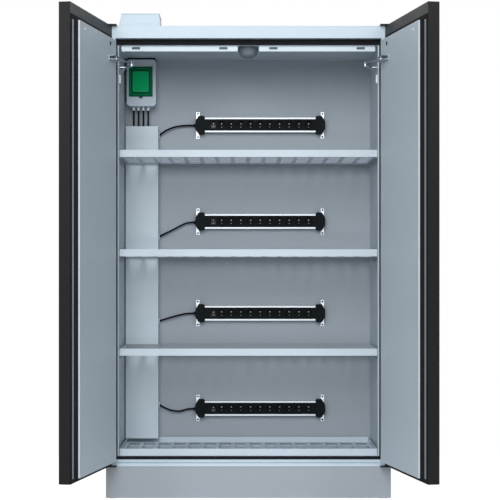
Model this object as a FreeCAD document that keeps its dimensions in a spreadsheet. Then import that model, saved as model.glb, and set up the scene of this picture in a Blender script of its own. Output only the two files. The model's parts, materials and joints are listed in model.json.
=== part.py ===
import FreeCAD, Part
import math
import os
import re
import Sketcher
from FreeCAD import Placement, Rotation, Vector

# Battery cabinet: a fire resistant double-door safety cabinet for charging batteries.
# Millimetres and degrees, +Z up, +Y from the doors to the back, +X to the right.
# The origin lies on the floor, in the middle of the box round the cabinet with its doors open.

SIZES = {
    # Body
    "body_width": 1195.0,
    "body_height": 1982.0,
    "body_depth": 570.0,
    "sheet": 1.5,
    "liner_sheet": 1.2,
    "fit_gap": 0.3,
    "side_return": 22.0,
    "roof_flange": 20.0,
    "floor_panel_flange": 10.0,
    # Front frame: opening at the front face, then the smaller mouth behind the rebate
    "frame_side": 40.5,
    "sill_height": 14.0,
    "fascia_height": 51.0,
    "rebate_depth": 35.0,
    "side_step": 12.0,
    "sill_step": 26.0,
    "head_step": 25.0,
    "lip_depth": 10.0,
    "seal_thickness": 2.0,
    "seal_side_width": 6.0,
    "seal_sill_width": 14.0,
    # Interior
    "side_wall": 44.5,
    "rear_wall": 55.0,
    "ceiling_clearance": 2.5,
    "floor_drop": 4.0,
    "floor_flange": 4.0,
    "rear_flange": 5.0,
    # Plinth and feet
    "plinth_top": 136.0,
    "plinth_sheet": 2.0,
    "plinth_setback": 5.0,
    "plinth_rear_setback": 5.0,
    "plinth_lift": 4.0,
    "plinth_top_flange": 40.0,
    "plinth_foot_flange": 62.0,
    "cover_return": 16.0,
    "cover_side_gap": 1.0,
    "foot_radius": 21.0,
    "foot_stud_radius": 6.0,
    "foot_stud_height": 46.0,
    "foot_inset": 32.0,
    "foot_nut_height": 10.0,
    "foot_nut_radius": 11.0,
    # Trays
    "tray_sheet": 1.5,
    "tray_lip": 30.0,
    "tray_side_gap": 1.5,
    "shelf_front": 40.0,
    "shelf_rear_gap": 10.0,
    "top_compartment": 442.5,
    "sump_compartment": 456.0,
    "duct_notch_gap": 4.0,
    "slot_width": 50.0,
    "slot_pitch": 67.0,
    "slot_bar": 16.0,
    "slot_end_margin": 12.0,
    "slot_row_margin": 22.0,
    "sump_front": 49.0,
    "sump_rear_gap": 8.0,
    "sump_rim": 33.0,
    "grating_drop": 16.0,
    "grating_gap": 1.0,
    "support_leg": 20.0,
    "support_reach": 20.0,
    "support_margin": 30.0,
    "ledge_leg": 14.0,
    "ledge_reach": 25.0,
    # Doors, described closed
    "door_rest": 100.5,
    "door_gap": 5.0,
    "door_middle_gap": 2.0,
    "door_bottom": 142.0,
    "door_top_gap": 2.0,
    "skin_thickness": 45.0,
    "hinge_side_inset": 11.0,
    "hinge_back_inset": 13.0,
    "plug_hinge_inset": 7.0,
    "plug_free_inset": 16.0,
    "plug_bottom_inset": 20.0,
    "plug_top_inset": 66.0,
    "core_inset": 6.0,
    "rim_thickness": 9.0,
    "gasket_thickness": 17.0,
    "gasket_inset": 1.0,
    "panel_thickness": 7.0,
    "panel_inset": 3.0,
    "fire_strip_width": 20.0,
    "fire_strip_thickness": 3.2,
    "fire_strip_gap": 2.0,
    "skin_edge_gap": 2.0,
    # Hinges
    "hinge_pin_radius": 6.0,
    "hinge_pin_reach": 16.0,
    "hinge_running_gap": 0.05,
    "hinge_plate": 3.7,
    "hinge_plate_width": 47.0,
    "hinge_plate_nose": 13.0,
    "hinge_plate_back": 58.0,
    "bush_wall": 3.0,
    # Door closer linkage, hung from the ceiling
    "closer_arm_out": 95.0,
    "closer_arm_in": 61.0,
    "closer_post_in": 54.0,
    "closer_post_back": 120.0,
    "closer_pin_radius": 4.0,
    "closer_running_gap": 0.05,
    "open_pivot_gap": 0.8,
    "lever_drop": 96.5,
    "lever_thickness": 4.0,
    "lever_half_width": 7.5,
    "link_rise": 12.0,
    "link_thickness": 4.0,
    "link_half_width": 7.0,
    "post_plate": 3.0,
    "post_plate_rise": 6.0,
    "post_plate_width": 36.0,
    "post_leg": 26.0,
    "clevis_gap": 14.0,
    "clevis_plate": 2.0,
    "clevis_start": 64.0,
    "clevis_length": 92.0,
    "clevis_reach": 24.0,
    # Ceiling fittings
    "rail_inner_end": 45.0,
    "rail_wall_gap": 18.0,
    "rail_front": 48.0,
    "rail_depth": 20.0,
    "rail_drop": 26.0,
    "rail_sheet": 2.0,
    "rail_slot": 35.0,
    "rail_slot_height": 10.0,
    "rail_slot_inset": 43.0,
    "detector_radius": 43.0,
    "detector_drop": 44.0,
    "detector_depth": 115.0,
    "contact_front": 50.0,
    "contact_width": 14.0,
    "contact_depth": 18.0,
    "contact_drop": 124.5,
    "contact_tall": 35.0,
    # Cable duct and electrical pieces on the back wall
    "duct_width": 146.0,
    "duct_depth": 70.0,
    "duct_drop": 304.5,
    "duct_wall_gap": 5.0,
    "grommet_radius": 13.0,
    "grommet_bore": 8.6,
    "grommet_flange": 3.0,
    "panel_box_width": 129.0,
    "panel_box_depth": 90.0,
    "panel_box_drop": 8.5,
    "panel_box_tall": 208.0,
    "panel_box_offset": 12.0,
    "panel_box_wall": 3.0,
    "panel_box_round": 10.0,
    "flap_width": 105.0,
    "flap_tall": 131.0,
    "flap_drop": 34.0,
    "flap_offset": 10.0,
    "flap_thickness": 4.0,
    "flap_gap": 3.0,
    "flap_pad_inset": 17.0,
    "flap_pad_rise": 3.0,
    "flap_pin_radius": 3.0,
    "window_inset": 12.0,
    "breaker_width": 70.0,
    "breaker_tall": 86.0,
    "breaker_depth": 58.0,
    "breaker_nose": 45.0,
    "breaker_nose_rise": 10.0,
    "toggle_half_width": 8.0,
    "toggle_radius": 7.0,
    "toggle_reach": 14.0,
    "toggle_rest": 30.0,
    "gland_pitch": 21.5,
    "gland_radius": 6.5,
    "gland_length": 15.0,
    "gland_offset": 4.0,
    "tail_radius": 4.0,
    "entry_pad_inset": 5.0,
    # Socket strips
    "strip_rise_1": 148.0,
    "strip_rise_2": 132.0,
    "strip_rise_3": 137.0,
    "strip_rise_4": 164.0,
    "strip_start": -194.0,
    "strip_length": 499.0,
    "strip_half_height": 33.0,
    "strip_wall": 2.0,
    "strip_front_gap": 30.0,
    "strip_lip": 7.0,
    "insert_setback": 1.0,
    "insert_depth": 24.0,
    "socket_first": -118.6,
    "socket_pitch": 43.6,
    "socket_radius": 19.0,
    "socket_recess": 15.0,
    "cap_length": 43.0,
    "cap_half_height": 41.0,
    "cap_corner": 15.0,
    "cap_inner_corner": 6.0,
    "cap_proud": 2.0,
    "nub_length": 8.0,
    "nub_radius": 7.0,
    "ear_half_height": 59.0,
    "ear_half_width": 7.0,
    "ear_inset": 11.0,
    "ear_sheet": 2.0,
    "rocker_centre": -155.5,
    "rocker_half_width": 10.0,
    "rocker_half_tall": 13.0,
    "rocker_depth": 10.0,
    "rocker_tilt": 8.0,
    "rocker_pocket_gap": 1.8,
    "lead_radius": 4.2,
    "lead_wall_gap": 16.0,
    # Roof pieces
    "roof_box_inset": 46.5,
    "roof_box_base": 180.0,
    "roof_box_top": 160.0,
    "roof_box_lean": 14.0,
    "roof_box_front": 60.0,
    "roof_box_depth": 150.0,
    "roof_box_tall": 58.0,
    "roof_box_wall": 2.0,
    "roof_lid": 4.0,
    "entry_radius": 10.2,
    "spigot_radius": 37.5,
    "spigot_wall": 2.0,
    "spigot_tall": 50.0,
    "spigot_flange": 55.0,
    "spigot_right": 350.0,
    "spigot_depth": 440.0,
    # Door handle, let into the right door
    "cup_width": 64.0,
    "cup_tall": 190.0,
    "cup_depth": 30.0,
    "cup_sheet": 1.5,
    "cup_from_edge": 42.0,
    "cup_centre": 1010.0,
    "paddle_tall": 118.0,
    "paddle_width": 40.0,
    "paddle_thickness": 5.0,
    "paddle_gap": 2.0,
    "paddle_pin_radius": 3.0,
    "lock_radius": 9.0,
    "lock_drop": 68.0,
    "lock_running_gap": 0.1,
}

doc = FreeCAD.newDocument("battery_cabinet")
sheet = doc.addObject("Spreadsheet::Sheet", "sizes")
for row, (size_name, size_value) in enumerate(SIZES.items(), start=1):
    sheet.set(f"A{row}", size_name)
    sheet.set(f"B{row}", str(size_value))
    sheet.setAlias(f"B{row}", size_name)
doc.recompute()


# Reading and binding sizes

def linked(text):
    """Turn the words of a size expression into references to the sheet's cells."""
    return re.sub(r"[a-z]\w*", lambda word: "sizes." + word[0] if word[0] in SIZES else word[0], str(text))


def number(text):
    """The value of a size expression."""
    return float(sheet.evalExpression(linked(text)))


def bind(thing, prop, text):
    """Bind one property of a document object to a size expression."""
    thing.setExpression(prop, linked(text))


def span(side, low, high):
    """Two ends along X on one side of the middle: side is 1 on the right and -1 on the left."""
    return (low, high) if side > 0 else (f"-({high})", f"-({low})")


# Named planes and lines of the cabinet

HALF_BODY = "body_width / 2"
HALF_OPENING = "(body_width / 2 - frame_side)"
HALF_MOUTH = "(body_width / 2 - frame_side - side_step)"
HALF_INNER = "(body_width / 2 - side_wall)"
OPENING_LOW = "(plinth_top + sill_height)"
OPENING_HIGH = "(body_height - fascia_height)"
MOUTH_LOW = "(plinth_top + sill_height + sill_step)"
MOUTH_HIGH = "(body_height - fascia_height - head_step)"
INNER_FLOOR = f"({MOUTH_LOW} - floor_drop)"
CEILING = f"({MOUTH_HIGH} + ceiling_clearance)"
DUCT_TOP = f"({CEILING} - duct_drop)"
LEVER_HEIGHT = f"({CEILING} - lever_drop)"
LINK_HEIGHT = f"({LEVER_HEIGHT} + link_rise)"

# The trays' lips from the top down; the two middle compartments are equally high.
MIDDLE_COMPARTMENT = f"(({CEILING} - top_compartment - {INNER_FLOOR} - sump_compartment) / 2)"
SHELF_TOPS = (f"({CEILING} - top_compartment)",
              f"({CEILING} - top_compartment - {MIDDLE_COMPARTMENT})",
              f"({INNER_FLOOR} + sump_compartment)")
STRIP_HEIGHTS = tuple(f"({base} + strip_rise_{index})"
                      for index, base in enumerate((*SHELF_TOPS, INNER_FLOOR), start=1))

HINGE_X = "(body_width / 2 - hinge_side_inset)"
HINGE_SETBACK = "(door_gap + hinge_back_inset)"
DOOR_LENGTH = f"({HINGE_X} - door_middle_gap)"
DOOR_REACH = f"({HINGE_SETBACK} + {DOOR_LENGTH} * sin(door_rest) - hinge_back_inset * cos(door_rest))"

# The body's front face is set back so that the box round body and open doors is centred on Y.
FRONT = f"(({DOOR_REACH} - body_depth) / 2)"
HINGE_Y = f"({FRONT} - {HINGE_SETBACK})"


def depth(text):
    """A place along Y, measured backwards from the body's front face."""
    return f"({FRONT} + {text})"


# Solids bound to the sheet

def block(name, across, back, up):
    """A rectangular block between three pairs of size expressions."""
    solid = doc.addObject("Part::Box", name)
    for prop, axis, (low, high) in zip(("Length", "Width", "Height"), "xyz", (across, back, up)):
        bind(solid, prop, f"({high}) - ({low})")
        bind(solid, "Placement.Base." + axis, low)
    return solid


TURNS = {
    "z": Rotation(),
    "x": Rotation(Vector(0, 1, 0), 90),
    "y": Rotation(Vector(1, 0, 0), -90),
}


def rod(name, place, radius, length, axis="z"):
    """A round bar that starts at a place and runs along an axis."""
    solid = doc.addObject("Part::Cylinder", name)
    solid.Placement = Placement(Vector(), TURNS[axis])
    bind(solid, "Radius", radius)
    bind(solid, "Height", length)
    for letter, text in zip("xyz", place):
        bind(solid, "Placement.Base." + letter, text)
    return solid


def nut(name, place, radius, length):
    """A hexagon that stands on a place."""
    solid = doc.addObject("Part::Prism", name)
    solid.Polygon = 6
    bind(solid, "Circumradius", radius)
    bind(solid, "Height", length)
    for letter, text in zip("xyz", place):
        bind(solid, "Placement.Base." + letter, text)
    return solid


def cut(name, base, *tools):
    """One solid with others taken away."""
    tool = tools[0] if len(tools) == 1 else group(name + "_tools", *tools)
    result = doc.addObject("Part::Cut", name)
    result.Base = base
    result.Tool = tool
    return result


def fuse(name, *pieces):
    """Several solids made one."""
    result = doc.addObject("Part::MultiFuse", name)
    result.Shapes = list(pieces)
    return result


def group(name, *pieces):
    """Several separate solids kept together."""
    result = doc.addObject("Part::Compound", name)
    result.Links = list(pieces)
    return result


# Sketched features

def new_body(name):
    return doc.addObject("PartDesign::Body", name)


def sketch(body, name, plane, *outlines, at="0"):
    """A sketch of closed polygons on one of the body's origin planes, moved along its normal.

    Each outline is a list of corners, and each corner a pair of size expressions.
    """
    drawing = body.newObject("Sketcher::SketchObject", name)
    base = next(item for item in body.Origin.OriginFeatures if item.Role == plane)
    drawing.AttachmentSupport = [(base, "")]
    drawing.MapMode = "FlatFace"
    bind(drawing, "AttachmentOffset.Base.z", at)
    for outline in outlines:
        first = drawing.GeometryCount
        count = len(outline)
        corners = [(number(across), number(up)) for across, up in outline]
        for index, start in enumerate(corners):
            end = corners[(index + 1) % count]
            drawing.addGeometry(Part.LineSegment(Vector(*start, 0), Vector(*end, 0)), False)
        for index, (across, up) in enumerate(outline):
            follower = first + (index + 1) % count
            drawing.addConstraint(Sketcher.Constraint("Coincident", first + index, 2, follower, 1))
            for kind, text, value in (("DistanceX", across, corners[index][0]),
                                      ("DistanceY", up, corners[index][1])):
                made = drawing.addConstraint(Sketcher.Constraint(kind, -1, 1, first + index, 1, value))
                drawing.setExpression(f"Constraints[{made}]", linked(text))
    return drawing


def circle_sketch(body, name, plane, centres, radius, at="0"):
    """A sketch of equal circles on one of the body's origin planes."""
    drawing = sketch(body, name, plane, at=at)
    for across, up in centres:
        centre = Vector(number(across), number(up), 0)
        made = drawing.addGeometry(Part.Circle(centre, Vector(0, 0, 1), number(radius)), False)
        for kind, text, value in (("DistanceX", across, centre.x), ("DistanceY", up, centre.y)):
            index = drawing.addConstraint(Sketcher.Constraint(kind, -1, 1, made, 3, value))
            drawing.setExpression(f"Constraints[{index}]", linked(text))
        index = drawing.addConstraint(Sketcher.Constraint("Radius", made, number(radius)))
        drawing.setExpression(f"Constraints[{index}]", linked(radius))
    return drawing


def rectangle(across, up):
    """The corners of a rectangle between two pairs of size expressions."""
    return [(across[0], up[0]), (across[1], up[0]), (across[1], up[1]), (across[0], up[1])]


def pad(body, drawing, length, backwards=False):
    """Material from a sketch along its plane's normal, or against it."""
    feature = body.newObject("PartDesign::Pad", drawing.Name + "_pad")
    feature.Profile = drawing
    bind(feature, "Length", length)
    feature.Reversed = backwards
    return feature


def pocket(body, drawing, length, along=False):
    """A pocket from a sketch against its plane's normal, or along it."""
    feature = body.newObject("PartDesign::Pocket", drawing.Name + "_pocket")
    feature.Profile = drawing
    bind(feature, "Length", length)
    feature.Reversed = along
    return feature


def row_of(body, feature, drawing, axis, pitch, count):
    """Copies of a pocket in a row along one axis of its sketch."""
    pattern = body.newObject("PartDesign::LinearPattern", feature.Name + "_row")
    pattern.Originals = [feature]
    pattern.Direction = (drawing, [axis])
    pattern.Mode = "Spacing"
    bind(pattern, "Offset", pitch)
    bind(pattern, "Occurrences", count)
    body.Tip = pattern
    return pattern


def turned(body, name, outline):
    """A solid of revolution about the sketch's vertical axis, from a half outline on the XZ plane."""
    drawing = sketch(body, name, "XZ_Plane", outline)
    feature = body.newObject("PartDesign::Revolution", name + "_turn")
    feature.Profile = drawing
    feature.ReferenceAxis = (drawing, ["V_Axis"])
    feature.Angle = 360
    return feature


def place(thing, across, back, up):
    """Move a finished solid to a place given by size expressions."""
    for letter, text in zip("xyz", (across, back, up)):
        bind(thing, "Placement.Base." + letter, text)
    return thing


NODES = {}


def node(name, *pieces):
    """Keep one or more solids under one name, which names their file."""
    kept = pieces[0] if len(pieces) == 1 else group(name + "_group", *pieces)
    kept.Label = name
    NODES[name] = kept
    return kept


# Sheet metal pans and rings in the XZ, XY and YZ planes

def ring(inset, across, up):
    """Two rectangles: the outer one and one inside it by an inset."""
    inner_across = (f"{across[0]} + {inset}", f"{across[1]} - {inset}")
    inner_up = (f"{up[0]} + {inset}", f"{up[1]} - {inset}")
    return rectangle(across, up), rectangle(inner_across, inner_up)


def pan(name, plane, across, up, at, thickness, wall_depth, walls_backwards):
    """A flat sheet with a wall all round; the walls run along the plane's normal or against it."""
    body = new_body(name)
    face = sketch(body, name + "_face", plane, rectangle(across, up), at=at)
    pad(body, face, thickness, walls_backwards)
    walls = sketch(body, name + "_walls", plane, *ring(thickness, across, up), at=at)
    pad(body, walls, wall_depth, walls_backwards)
    return body


# Body shell

def side_panels():
    """Flat side sheets with returns behind the front frame and at the back."""
    pieces = []
    for side, word in ((1, "right"), (-1, "left")):
        body = new_body("side_panel_" + word)
        low = depth("sheet + fit_gap")
        high = depth("body_depth")
        outer = f"{side} * {HALF_BODY}"
        inner = f"{side} * ({HALF_BODY} - sheet)"
        edge = f"{side} * ({HALF_BODY} - side_return)"
        outline = [(outer, low), (outer, high), (edge, high), (edge, f"{high} - sheet"),
                   (inner, f"{high} - sheet"), (inner, f"{low} + sheet"),
                   (edge, f"{low} + sheet"), (edge, low)]
        base = "plinth_top + sheet + fit_gap"
        drawing = sketch(body, "side_section_" + word, "XY_Plane", outline, at=base)
        pad(body, drawing, f"body_height - sheet - fit_gap - ({base})")
        pieces.append(body)
    node("side_panels", *pieces)


SHEET_X = (f"-{HALF_BODY}", HALF_BODY)
FLANGE_X = (f"-{HALF_BODY} + sheet + fit_gap", f"{HALF_BODY} - sheet - fit_gap")
FLANGE_Y = (depth("2 * (sheet + fit_gap)"), depth("body_depth - 2 * (sheet + fit_gap)"))


def end_panel(name, level, flange_width, face_down, opening=None):
    """A roof or floor sheet over the side panels, with a flange that stands inside them."""
    body = new_body(name)
    outer = rectangle(SHEET_X, (depth("sheet + fit_gap"), depth("body_depth")))
    face = sketch(body, name + "_face", "XY_Plane", outer, at=level)
    pad(body, face, "sheet", face_down)
    flange = sketch(body, name + "_flange", "XY_Plane", *ring("sheet", FLANGE_X, FLANGE_Y), at=level)
    pad(body, flange, flange_width, face_down)
    if opening:
        hole = circle_sketch(body, name + "_hole", "XY_Plane", [opening], "spigot_radius", at=level)
        pocket(body, hole, "2 * sheet")
    node(name, body)


SPIGOT = ("spigot_right", depth("spigot_depth"))


def rear_panel():
    """The flat back sheet, held between the side panels' returns and the boards."""
    back = (depth("body_depth - 2 * sheet - fit_gap"), depth("body_depth - sheet - fit_gap"))
    body = new_body("rear_panel")
    outline = rectangle(FLANGE_X, ("plinth_top + sheet + fit_gap", "body_height - sheet - fit_gap"))
    drawing = sketch(body, "rear_face", "XZ_Plane", outline, at=f"-{back[1]}")
    pad(body, drawing, "sheet")
    node("rear_panel", body)


def front_frame():
    """The folded front: face flange, rebate wall, rebate back and the lip into the interior."""
    body = new_body("front_frame")
    opening = ((f"-{HALF_OPENING}", HALF_OPENING), (OPENING_LOW, OPENING_HIGH))
    mouth = ((f"-{HALF_MOUTH}", HALF_MOUTH), (MOUTH_LOW, MOUTH_HIGH))
    around_opening = ((f"-{HALF_OPENING} - sheet", f"{HALF_OPENING} + sheet"),
                      (f"{OPENING_LOW} - sheet", f"{OPENING_HIGH} + sheet"))
    around_mouth = ((f"-{HALF_MOUTH} - sheet", f"{HALF_MOUTH} + sheet"),
                    (f"{MOUTH_LOW} - sheet", f"{MOUTH_HIGH} + sheet"))
    face = (SHEET_X, ("plinth_top", "body_height"))
    rings = (("face", face, opening, "0", "sheet"),
             ("wall", around_opening, opening, "0", "rebate_depth + sheet"),
             ("back", around_opening, mouth, "rebate_depth", "sheet"),
             ("lip", around_mouth, mouth, "rebate_depth", "sheet + lip_depth"))
    for word, outer, inner, start, length in rings:
        drawing = sketch(body, "frame_" + word, "XZ_Plane", rectangle(*outer), rectangle(*inner),
                         at=f"-{depth(start)}")
        pad(body, drawing, length, True)
    node("front_frame", body)


def frame_seal():
    """The black fire strip stuck round the rebate's back face."""
    body = new_body("frame_seal")
    outer = ((f"-{HALF_OPENING} + fit_gap", f"{HALF_OPENING} - fit_gap"),
             (f"{MOUTH_LOW} - seal_sill_width", f"{OPENING_HIGH} - fit_gap"))
    inner = ((f"-{HALF_OPENING} + seal_side_width", f"{HALF_OPENING} - seal_side_width"),
             (MOUTH_LOW, f"{MOUTH_HIGH} + fit_gap"))
    drawing = sketch(body, "frame_seal_ring", "XZ_Plane", rectangle(*outer), rectangle(*inner),
                     at=f"-{depth('rebate_depth')}")
    pad(body, drawing, "seal_thickness")
    node("frame_seal", body)


# Liner and insulation

LINER_FRONT = depth("rebate_depth + sheet + fit_gap")
LINER_BACK = depth("body_depth - rear_wall - fit_gap")
BOARD_EDGE = f"({HALF_OPENING} + sheet + fit_gap)"
BOARD_OUTER = f"({HALF_BODY} - 2 * (sheet + fit_gap))"
BOARD_FRONT = depth("3 * (sheet + fit_gap)")
BOARD_BACK = depth("body_depth - 3 * (sheet + fit_gap)")
REAR_BOARD_FRONT = depth("body_depth - rear_wall + rear_flange + fit_gap")
LINER_LOW = f"({INNER_FLOOR} - floor_flange)"
LINER_HIGH = f"({CEILING} + floor_flange)"


def liner_walls():
    """The inner side and back walls, pans whose edges reach back to the boards."""
    edge = f"({HALF_OPENING} + sheet)"
    pieces = [pan("liner_rear_pan", "XZ_Plane", (f"-{edge}", edge), (LINER_LOW, LINER_HIGH),
                  f"-{depth('body_depth - rear_wall')}", "liner_sheet", "rear_flange", True)]
    for side, word in ((1, "right"), (-1, "left")):
        wall_depth = f"{HALF_OPENING} + sheet - {HALF_INNER}"
        pieces.append(pan("liner_side_" + word, "YZ_Plane", (LINER_FRONT, LINER_BACK),
                          (LINER_LOW, LINER_HIGH), f"{side} * {HALF_INNER}", "liner_sheet",
                          wall_depth, side < 0))
    node("liner_walls", *pieces)


def liner_floor_and_ceiling():
    """The inner floor and ceiling sheets between the side walls."""
    across = (f"-{HALF_INNER} + fit_gap", f"{HALF_INNER} - fit_gap")
    floor = pan("liner_floor", "XY_Plane", across, (LINER_FRONT, LINER_BACK), INNER_FLOOR,
                "liner_sheet", "floor_flange", True)
    ceiling = pan("liner_ceiling", "XY_Plane", across, (LINER_FRONT, LINER_BACK), CEILING,
                  "liner_sheet", "floor_flange", False)
    node("liner_floor_and_ceiling", floor, ceiling)


def insulation_boards():
    """Fire boards: one at each side and the back, two layers above and below."""
    base = "plinth_top + sheet + fit_gap"
    top = "body_height - sheet - fit_gap"
    middle = (f"-{BOARD_EDGE} + fit_gap", f"{BOARD_EDGE} - fit_gap")
    end_back = f"{REAR_BOARD_FRONT} - fit_gap"
    sill = f"{OPENING_LOW} - sheet"
    head = f"{OPENING_HIGH} + sheet"
    boards = []
    for side, word in ((1, "right"), (-1, "left")):
        boards.append(block("board_" + word, span(side, BOARD_EDGE, BOARD_OUTER),
                            (BOARD_FRONT, BOARD_BACK), (base, top)))
    boards.append(block("board_rear", middle, (REAR_BOARD_FRONT, BOARD_BACK), (base, top)))
    layers = (("roof_outer", BOARD_FRONT, f"{head} + fit_gap", top),
              ("roof_inner", LINER_FRONT, f"{LINER_HIGH} + fit_gap", head),
              ("floor_outer", BOARD_FRONT, base, f"{sill} - fit_gap"),
              ("floor_inner", LINER_FRONT, sill, f"{LINER_LOW} - fit_gap"))
    for word, front, low, high in layers:
        boards.append(block("board_" + word, middle, (front, end_back), (low, high)))
    node("insulation_boards", *boards)


# Plinth, cover and feet

PLINTH_HIGH = "(plinth_top - fit_gap)"


def u_outline(width):
    """A U that is open to the front, as wide as its three walls or flanges."""
    outer = HALF_BODY
    front = depth("plinth_setback + plinth_sheet + fit_gap")
    back = depth("body_depth - plinth_rear_setback")
    return [(f"-{outer}", front), (f"-{outer} + {width}", front),
            (f"-{outer} + {width}", f"{back} - {width}"), (f"{outer} - {width}", f"{back} - {width}"),
            (f"{outer} - {width}", front), (outer, front), (outer, back), (f"-{outer}", back)]


def base_frame():
    """The folded base: walls at the sides and back, with flanges for the body and the feet."""
    body = new_body("base_frame")
    walls = sketch(body, "base_walls", "XY_Plane", u_outline("plinth_sheet"), at="plinth_lift")
    pad(body, walls, f"{PLINTH_HIGH} - plinth_lift")
    top = sketch(body, "base_top", "XY_Plane", u_outline("plinth_top_flange"), at=PLINTH_HIGH)
    pad(body, top, "plinth_sheet", True)
    foot = sketch(body, "base_foot", "XY_Plane", u_outline("plinth_foot_flange"), at="plinth_lift")
    pad(body, foot, "plinth_sheet")
    holes = circle_sketch(body, "base_stud_holes", "XY_Plane", foot_places(),
                          "foot_stud_radius + fit_gap", at="plinth_lift")
    pocket(body, holes, "2 * plinth_sheet", True)
    node("base_frame", body)


def foot_places():
    """The four feet's centres, in the corners of the base."""
    across = f"({HALF_BODY} - foot_inset)"
    front = depth("plinth_setback + foot_inset")
    back = depth("body_depth - plinth_rear_setback - foot_inset")
    return [(f"{sign}{across}", place_y) for sign in ("-", "") for place_y in (front, back)]


def plinth_cover():
    """The front cover plate, with returns at its two ends."""
    body = new_body("plinth_cover")
    outer = f"{HALF_BODY} - cover_side_gap"
    front = depth("plinth_setback")
    outline = [(f"-({outer})", front), (outer, front), (outer, f"{front} + plinth_sheet"),
               (f"-({outer})", f"{front} + plinth_sheet")]
    drawing = sketch(body, "cover_plate", "XY_Plane", outline, at="plinth_lift")
    pad(body, drawing, f"{PLINTH_HIGH} - plinth_lift")
    reach = f"({HALF_BODY} - plinth_sheet - fit_gap)"
    back = f"{front} + plinth_sheet + fit_gap + cover_return"
    for side, word in ((1, "right"), (-1, "left")):
        across = span(side, f"{reach} - plinth_sheet", reach)
        tab = sketch(body, "cover_tab_" + word, "XY_Plane", rectangle(across, (front, back)),
                     at="plinth_lift + plinth_sheet + fit_gap")
        pad(body, tab, f"{PLINTH_HIGH} - 2 * (plinth_lift + plinth_sheet)")
    node("plinth_cover", body)


def levelling_feet():
    """Four screw feet: a disc on the floor, a stud through the base flange and its nut."""
    feet = []
    for index, (across, back) in enumerate(foot_places(), start=1):
        disc = rod(f"foot_disc_{index}", (across, back, "0"), "foot_radius", "plinth_lift - fit_gap")
        stud = rod(f"foot_stud_{index}", (across, back, "0"), "foot_stud_radius", "foot_stud_height")
        hexagon = nut(f"foot_nut_{index}", (across, back, "plinth_lift + plinth_sheet + fit_gap"),
                      "foot_nut_radius", "foot_nut_height")
        feet.append(fuse(f"foot_{index}", disc, stud, hexagon))
    node("levelling_feet", *feet)


# Shelves, sump and their supports

TRAY_X = f"({HALF_MOUTH} - tray_side_gap)"
DUCT_RIGHT = f"(-{HALF_INNER} + duct_wall_gap + duct_width)"
DUCT_FRONT = "(body_depth - rear_wall - fit_gap - duct_depth)"


SLOT_ROWS = 3
SLOT_COLUMNS = f"floor((2 * {TRAY_X} - 2 * slot_end_margin + slot_pitch - slot_width) / slot_pitch)"
TRAY_SLOTS_BACK = f"({depth(DUCT_FRONT)} - duct_notch_gap - slot_row_margin)"


def slot_column(front, back):
    """One column of rectangular openings between two depths in a tray's floor."""
    first = f"-({SLOT_COLUMNS} - 1) / 2 * slot_pitch"
    across = (f"{first} - slot_width / 2", f"{first} + slot_width / 2")
    length = f"(({back} - {front} - {SLOT_ROWS - 1} * slot_bar) / {SLOT_ROWS})"
    starts = [f"{front} + {row} * ({length} + slot_bar)" for row in range(SLOT_ROWS)]
    return [rectangle(across, (start, f"{start} + {length}")) for start in starts]


def perforate(body, name, level, front, back=TRAY_SLOTS_BACK):
    """Cut rows of openings through a tray's floor, whose underside is at a level."""
    drawing = sketch(body, name + "_slots", "XY_Plane", *slot_column(front, back), at=level)
    column = pocket(body, drawing, "2 * tray_sheet", True)
    row_of(body, column, drawing, "H_Axis", "slot_pitch", SLOT_COLUMNS)


def notched(inset):
    """A tray's outline with the corner for the cable duct left out, drawn in by an inset."""
    left = f"-{TRAY_X} + {inset}"
    right = f"{TRAY_X} - {inset}"
    front = f"{depth('shelf_front')} + {inset}"
    back = f"{depth('body_depth - rear_wall - shelf_rear_gap')} - {inset}"
    notch_x = f"{DUCT_RIGHT} + duct_notch_gap + {inset}"
    notch_y = f"{depth(DUCT_FRONT)} - duct_notch_gap - {inset}"
    return [(left, front), (right, front), (right, back), (notch_x, back), (notch_x, notch_y),
            (left, notch_y)]


def shelf(name, top):
    """A perforated tray shelf with an upturned lip, cut out round the cable duct."""
    body = new_body(name)
    underside = f"{top} - tray_lip"
    floor = sketch(body, name + "_floor", "XY_Plane", notched("0"), at=underside)
    pad(body, floor, "tray_sheet")
    lip = sketch(body, name + "_lip", "XY_Plane", notched("0"), notched("tray_sheet"), at=underside)
    pad(body, lip, "tray_lip")
    perforate(body, name, underside, depth("shelf_front + slot_row_margin"))
    node(name, body)


def rear_ledge(level, shelf_under):
    """The angle on the rear wall beside the duct, under one shelf's rear edge."""
    wall = f"({depth('body_depth - rear_wall')} - fit_gap)"
    outline = [(wall, shelf_under), (f"{wall} - ledge_reach", shelf_under),
               (f"{wall} - ledge_reach", f"{shelf_under} - tray_sheet"),
               (f"{wall} - tray_sheet", f"{shelf_under} - tray_sheet"),
               (f"{wall} - tray_sheet", f"{shelf_under} - ledge_leg"), (wall, f"{shelf_under} - ledge_leg")]
    left = f"({DUCT_RIGHT} + duct_notch_gap)"
    body = new_body(f"support_rear_{level}")
    section = sketch(body, f"support_rear_angle_{level}", "YZ_Plane", outline, at=left)
    pad(body, section, f"{HALF_INNER} - duct_notch_gap - {left}")
    return body


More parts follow.
